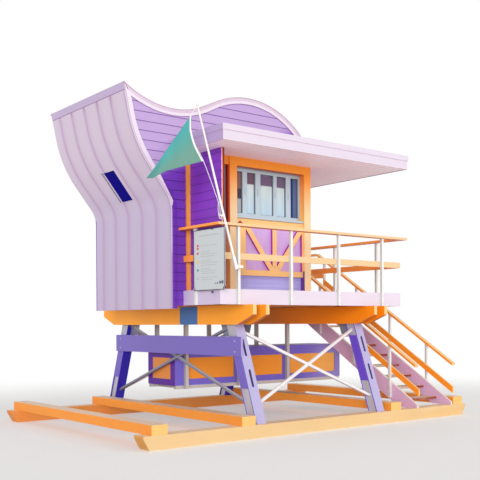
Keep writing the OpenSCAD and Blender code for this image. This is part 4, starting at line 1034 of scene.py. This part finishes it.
# Each side carries painted light and shade.
board_colour = sheet_white.faces(front=(220, 224, 222), left=(196, 200, 202),
                                 top=(220, 224, 222), under=(180, 184, 184))
# The upper part of the sheet is painted darker as painted shade.
shaded_top = sheet_white.ramp(sheet_white.z, 3.05, 3.3) * 0.4
board_colour = sheet_white.mix(shaded_top, board_colour, (196, 202, 206))
sheet_white.coated(board_colour, sheet_white.noise((4, 4, 2)), (0.97, 0.05), (0.28, 0.15),
                   (0.05, 0.001))
dress(sheet_white, "notice_board")


def ink(name, tint):
    """A flat printing ink."""
    made = Finish(name)
    made.coated(made.faces(front=tint, left=tint, top=tint), made.noise((30, 30, 30)),
                (0.92, 0.16), (0.4, 0.1), (0.05, 0.001))
    return made


board_low, board_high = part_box("notice_board")
ink_t = 0.0012


def mark(shape, near, far, low, high):
    """A printed mark on the board's face, as a thin plate with rounded corners."""
    wide, tall = far - near, high - low
    block(shape, (board_low.x - ink_t / 2, (near + far) / 2, (low + high) / 2),
          (ink_t, wide, tall), min(wide, tall) * 0.3, X)


margin = board_high.y - 0.06
bar_t, bar_start = 0.012, margin - 0.13
bars = bmesh.new()
mark(bars, board_low.y + 0.14, margin - 0.08, board_high.z - 0.106, board_high.z - 0.086)
for drop, length in ((0.245, 0.40), (0.34, 0.24), (0.375, 0.42), (0.41, 0.36), (0.475, 0.28),
                     (0.51, 0.44), (0.545, 0.40), (0.60, 0.24), (0.635, 0.42), (0.67, 0.36),
                     (0.73, 0.42), (0.765, 0.30)):
    mark(bars, bar_start - length, bar_start, board_high.z - drop - bar_t, board_high.z - drop)
piece("notice_bars", bars, ink("grey_ink", (178, 184, 186)))
for name, drops, tall, tint in (("red_marks", (0.225, 0.2682), 0.036, (214, 66, 74)),
                                ("lower_red_mark", (0.345,), 0.034, (205, 70, 84)),
                                ("yellow_mark", (0.475,), 0.04, (242, 190, 84)),
                                ("blue_mark", (0.605,), 0.034, (72, 146, 172)),
                                ("grey_mark", (0.735,), 0.03, (176, 180, 186))):
    marks = bmesh.new()
    for drop in drops:
        mark(marks, margin - 0.075, margin - 0.025, board_high.z - drop - tall,
             board_high.z - drop)
    piece(name, marks, ink(name + "_ink", tint))
corner_marks, corner_foot = bmesh.new(), board_low.z + 0.09
for step, size in ((0, 0.022), (0.05, 0.03), (0.11, 0.045), (0.165, 0.05)):
    far = board_low.y + 0.25 - step
    mark(corner_marks, far - size, far, corner_foot, corner_foot + size)
piece("corner_marks", corner_marks, ink("dark_ink", (84, 92, 112)))

edging_w, edging_t = 0.010, 0.005
edging = bmesh.new()
strip = skin("notice_board", (-1, 0, 0))
bmesh.ops.dissolve_limit(strip, angle_limit=0.01, verts=strip.verts, edges=strip.edges)
keep(strip, border(strip, edging_w))
raise_boards(edging, strip, (-1, 0, 0), edging_t)
for z in (board_high.z - 0.004, board_low.z - 0.028):
    block(edging, (board_low.x - 0.004, board_low.y + 0.31, z), (0.01, 0.04, 0.032))
piece("notice_edging", edging, rubber)

# ---- Flag pole, flag and halyard -------------------------------------------------------------
# A tapered white pole leans out from the corner of the railing, lashed to rail and post.
# A thin teal flag flies from its top on a white rope that comes down to a cleat.
# Each side carries painted light and shade.
timber_paint("pole_coat", ["flag_pole"], Z, 0.38, 0.3, 0.05, front=(248, 242, 238),
             left=(222, 212, 212), top=(248, 242, 238), under=(190, 180, 184),
             right=(236, 226, 222))

flag_low, flag_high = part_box("flag")
pole_y = (flag_low.y + flag_high.y) / 2
flag_l, flag_h = 0.98, 0.64
head = Vector((-2.6155, 0, 4.7853))


def flag_line(*spots):
    """Points on the flag, given as shares of its length and height from its head."""
    return [Vector((head.x + along * flag_l, 0, head.z - drop * flag_h)) for along, drop in spots]


def along_line(points, share):
    """The point at a share of the way along a line of points."""
    spans = [(b - a).length for a, b in zip(points, points[1:])]
    want = share * sum(spans)
    for a, b, span in zip(points, points[1:], spans):
        if want <= span:
            return a.lerp(b, want / span)
        want -= span
    return points[-1].copy()


hoist_edge = flag_line((0, 0), (-0.004, 0.32), (0.032, 0.51), (0.086, 0.70), (0.222, 1.0))
lower_edge = flag_line((0.222, 1.0), (-0.032, 1.13), (-0.45, 1.34), (-0.655, 1.535),
                       (-0.770, 1.55))
upper_edge = flag_line((0, 0), (-0.776, 1.545))
cloth = bmesh.new()
cloth.loops.layers.uv.new("weave")
bmesh.ops.create_grid(cloth, x_segments=44, y_segments=30, size=0.5, calc_uvs=True)
for vert in cloth.verts:
    fly, down = vert.co.x + 0.5, 0.5 - vert.co.y
    spot = along_line(upper_edge, fly).lerp(along_line(lower_edge, fly), down)
    bow = along_line(hoist_edge, down) - upper_edge[0].lerp(lower_edge[0], down)
    spot += bow * (1 - fly) ** 2
    spot.z -= 0.012 * math.sin(math.pi * fly) * (1 - down)
    fold = 0.55 * math.sin(2 * math.pi * (0.9 * fly + 0.45 * down))
    fold += 0.3 * math.sin(2 * math.pi * (2.1 * fly - 0.6 * down))
    belly = math.sin(math.pi * min(1, fly * 1.15)) * math.sin(math.pi * down)
    spot.y = pole_y + 0.022 * fold * min(1, 2.2 * fly) + 0.008 * belly
    vert.co = spot
bmesh.ops.recalc_face_normals(cloth, faces=cloth.faces[:])
cloth_area = sum(f.calc_area() for f in cloth.faces)

nylon = Finish("nylon")
weave = nylon.node("ShaderNodeTexCoord", out="UV")
u, v = nylon.parts(weave)[:2]
teal = nylon.mix(nylon.ramp(v + 0.12 * nylon.noise((3, 3, 3), 3.0), 0.25, 0.95),
                 (102, 152, 136), (62, 162, 160))
teal = nylon.mix(nylon.ramp(u, 0.55, 1.0) * 0.6, teal, (56, 148, 144))
threads, cross_threads = [
    nylon.node("ShaderNodeTexWave", {"bands_direction": way},
               {"Vector": weave, "Scale": count, "Distortion": 0.4})
    for way, count in (("X", 90.0), ("Y", 60.0))]
teal = nylon.scaled(teal, 0.95 + 0.05 * threads + 0.04 * cross_threads)
hem = nylon.ramp(v, 0.975, 0.98) + nylon.fade(v, 0.02, 0.025)
teal = nylon.scaled(teal, 1 - 0.12 * hem)
heading_tape = nylon.fade(u, 0.022, 0.03)
nylon.feed(Base_Color=nylon.mix(heading_tape, teal, (240, 242, 236)),
           Roughness=0.62 - 0.1 * threads, Sheen_Weight=0.25)
nylon.relief(threads + cross_threads, 0.12, 0.0008)
flag = piece("flag_cloth", cloth, nylon, smooth=True)
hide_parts("flag")

braid = Finish("braid")
strands = braid.node("ShaderNodeTexWave", {"bands_direction": "DIAGONAL"},
                     {"Vector": braid.place, "Scale": 160.0})
# Each side carries painted light and shade.
braid.coated(braid.faces(front=(246, 246, 240), left=(230, 230, 226), top=(246, 246, 240)),
             strands, (0.9, 0.12), (0.8, 0), (0.4, 0.001))


def smooth_route(points, count):
    """A Catmull-Rom line through points, count steps long."""
    ends = [2 * points[0] - points[1], *points, 2 * points[-1] - points[-2]]
    line = []
    for step in range(count + 1):
        where = step / count * (len(points) - 1)
        i = min(int(where), len(points) - 2)
        t = where - i
        p0, p1, p2, p3 = ends[i:i + 4]
        line.append(0.5 * (2 * p1 + (p2 - p0) * t + (2 * p0 - 5 * p1 + 4 * p2 - p3) * t * t
                           + (3 * p1 - p0 - 3 * p2 + p3) * t ** 3))
    return line


def laid_rope(name, line):
    """A round braided rope along a line of points."""
    curve = bpy.data.curves.new(name, "CURVE")
    curve.dimensions = "3D"
    curve.bevel_depth, curve.bevel_resolution, curve.use_fill_caps = rope_r, 3, True
    spline = curve.splines.new("POLY")
    spline.points.add(len(line) - 1)
    for point, spot in zip(spline.points, line):
        point.co = (*spot, 1)
    curve.materials.append(braid.material)
    made = set_out(name, curve)
    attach(made, "root")
    return made


rope_r, rope_gap, truck_r = 0.0045, 0.0012, 0.0203
rope_low, rope_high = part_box("halyard")
lead = Vector((rope_r + rope_gap, pole_y, 0))
pole_top = Vector((-2.4962, pole_y, 4.9506))
rope_start = pole_top + (hoist_edge[0] + lead - pole_top).normalized() * truck_r
rope_end = Vector((rope_high.x - 0.004, pole_y, rope_low.z + 0.006))
slack_point = rope_end + Vector((-0.03, 0, 0.17))
route = smooth_route([rope_start, *(p + lead for p in hoist_edge), slack_point, rope_end], 35)
rope = laid_rope("halyard_rope", route)
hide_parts("halyard")
tail = ((-2.098, 3.56), (-2.131, 3.545), (-2.147, 3.45), (-2.136, 3.335), (-2.112, 3.318),
        (-2.108, 3.38))
spare_line = laid_rope("spare_line", smooth_route(
    [Vector((x, pole_y - 0.012 * i, z)) for i, (x, z) in enumerate(tail)], 24))

knot = bmesh.new()
for drop, tilt in ((0.0, 0.45), (-0.006, -0.5), (0.008, 0.1)):
    centre = rope_end + Vector((0, 0, drop - 0.008))
    bmesh.ops.create_circle(knot, segments=10, radius=rope_r * 0.95,
                            matrix=Matrix.Translation(centre + Vector((0, -0.016, 0)))
                            @ Matrix.Rotation(math.radians(90), 4, "Y"))
    section = [e for e in knot.edges if not e.link_faces]
    bmesh.ops.spin(knot, geom=section, cent=centre, axis=(1, tilt, 0), dvec=(0, 0, 0),
                   angle=math.radians(360), steps=20, use_merge=True)
bmesh.ops.recalc_face_normals(knot, faces=knot.faces[:])
hitch = piece("cleat_hitch", knot, braid, smooth=True)
sum((b - a).length for a, b in zip(route, route[1:]))

# ---- Locker ----------------------------------------------------------------------------------
# A long gear locker hangs under the platform in grey steel hangers. Its violet frame holds
# orange plywood panels. Both are painted paler on their fronts towards the stair end, and
# each side carries painted light and shade.
locker_coat = Finish("locker_coat")
locker_violet = locker_coat.faces(front=(120, 104, 210), left=(86, 28, 148),
                                  top=(140, 120, 196), under=(64, 36, 110),
                                  right=(168, 152, 220))
stair_end = locker_coat.ramp(locker_coat.x, 1.6, 2.6) * locker_coat.side("front", 0.3, 0.7)
locker_violet = locker_coat.mix(stair_end * 0.7, locker_violet, (166, 152, 222))
locker_coat.painted(locker_violet, X, 0.4)
dress(locker_coat, "locker_body")

ply_orange = Finish("ply_orange")
ply_colour = ply_orange.faces(front=(255, 158, 46), left=(222, 138, 62), top=(246, 176, 104),
                              right=(246, 176, 104))
stair_end = ply_orange.ramp(ply_orange.x, 0.8, 2.6) * ply_orange.side("front", 0.3, 0.7)
ply_colour = ply_orange.mix(stair_end, ply_colour, (255, 182, 90))
figure = ply_orange.noise((1.2, 9, 14), 6.0, 0.6)
ply_orange.painted(ply_orange.scaled(ply_colour, 0.95 + 0.1 * figure), X, 0.42, 0.3)
dress(ply_orange, "locker_panels")

hanger_grey = Finish("hanger_grey")
# Each side carries painted light and shade.
hanger_colour = hanger_grey.faces(front=(206, 200, 196), left=(176, 170, 172),
                                  top=(220, 214, 208), under=(140, 132, 136))
hanger_grey.coated(hanger_colour, hanger_grey.noise((10, 10, 4), 5.0), (0.94, 0.12),
                   (0.42, 0.2), (0.08, 0.002), metallic=0.15)
dress(hanger_grey, "locker_hangers")

panel_screws = bmesh.new()
for low, high in solids_of("locker_panels"):
    if high.y - low.y < 0.05 and low.y < 2.6:
        bolts(panel_screws, [(x, low.y, z)
                             for x in (low.x + 0.03, (low.x + high.x) / 2, high.x - 0.03)
                             for z in (low.z + 0.02, high.z - 0.02)], (0, -1, 0), 0.007)
piece("panel_screws", panel_screws, galvanised)

# ---- Studio ----------------------------------------------------------------------------------
# A wide pale floor runs into a white surround. One soft sun stands to the front right and a
# broad fill to the left, and the surround lights all sides, so paints look as they are mixed.
ground = bmesh.new()
bmesh.ops.create_grid(ground, x_segments=1, y_segments=1, size=60)
floor_mesh = bpy.data.meshes.new("studio_floor")
ground.to_mesh(floor_mesh)
ground.free()
floor = set_out("studio_floor", floor_mesh)
floor_paint = Finish("studio_floor")
floor_paint.feed(Base_Color=(252, 251, 249), Roughness=0.9, Specular_IOR_Level=0.1)
distance = floor_paint.node("ShaderNodeVectorMath", {"operation": "LENGTH"},
                            {0: floor_paint.place}, "Value")
white = floor_paint.node("ShaderNodeEmission", {}, {"Color": (255, 255, 255), "Strength": 1.0})
open_floor = floor_paint.node("ShaderNodeMixShader", {}, {
    0: 0.3 + 0.7 * floor_paint.ramp(distance, 7.0, 15.0),
    1: Value(floor_paint.tree, floor_paint.body.outputs[0]), 2: white})
fill(floor_paint.tree, floor_paint.tree.nodes["Material Output"].inputs["Surface"], open_floor)
floor_mesh.materials.append(floor_paint.material)

world = bpy.data.worlds.new("studio_light")
bpy.context.scene.world = world
world.use_nodes = True
studio = Mixture(world.node_tree)
even_light = studio.tree.nodes["Background"]
even_light.inputs["Color"].default_value = (1.0, 0.995, 0.985, 1)
even_light.inputs["Strength"].default_value = 0.57
backdrop = studio.node("ShaderNodeBackground", {}, {"Color": (255, 255, 255), "Strength": 1.0})
in_view, in_gloss, in_glass = [studio.node("ShaderNodeLightPath", out=kind) for kind in (
    "Is Camera Ray", "Is Glossy Ray", "Is Transmission Ray")]
surroundings = studio.node("ShaderNodeMixShader", {}, {
    0: in_view + in_gloss + in_glass, 1: Value(studio.tree, even_light.outputs[0]), 2: backdrop})
fill(studio.tree, studio.tree.nodes["World Output"].inputs["Surface"], surroundings)

for name, strength, spread, towards in (("soft_sun", 0.40, 20, (0.50, -0.75, 0.43)),
                                        ("side_fill", 1.77, 24, (-0.70, -0.70, 0.13))):
    lamp = bpy.data.lights.new(name, "SUN")
    lamp.energy, lamp.angle = strength, math.radians(spread)
    sun = set_out(name, lamp)
    sun.rotation_euler = Vector(towards).to_track_quat("Z", "Y").to_euler()
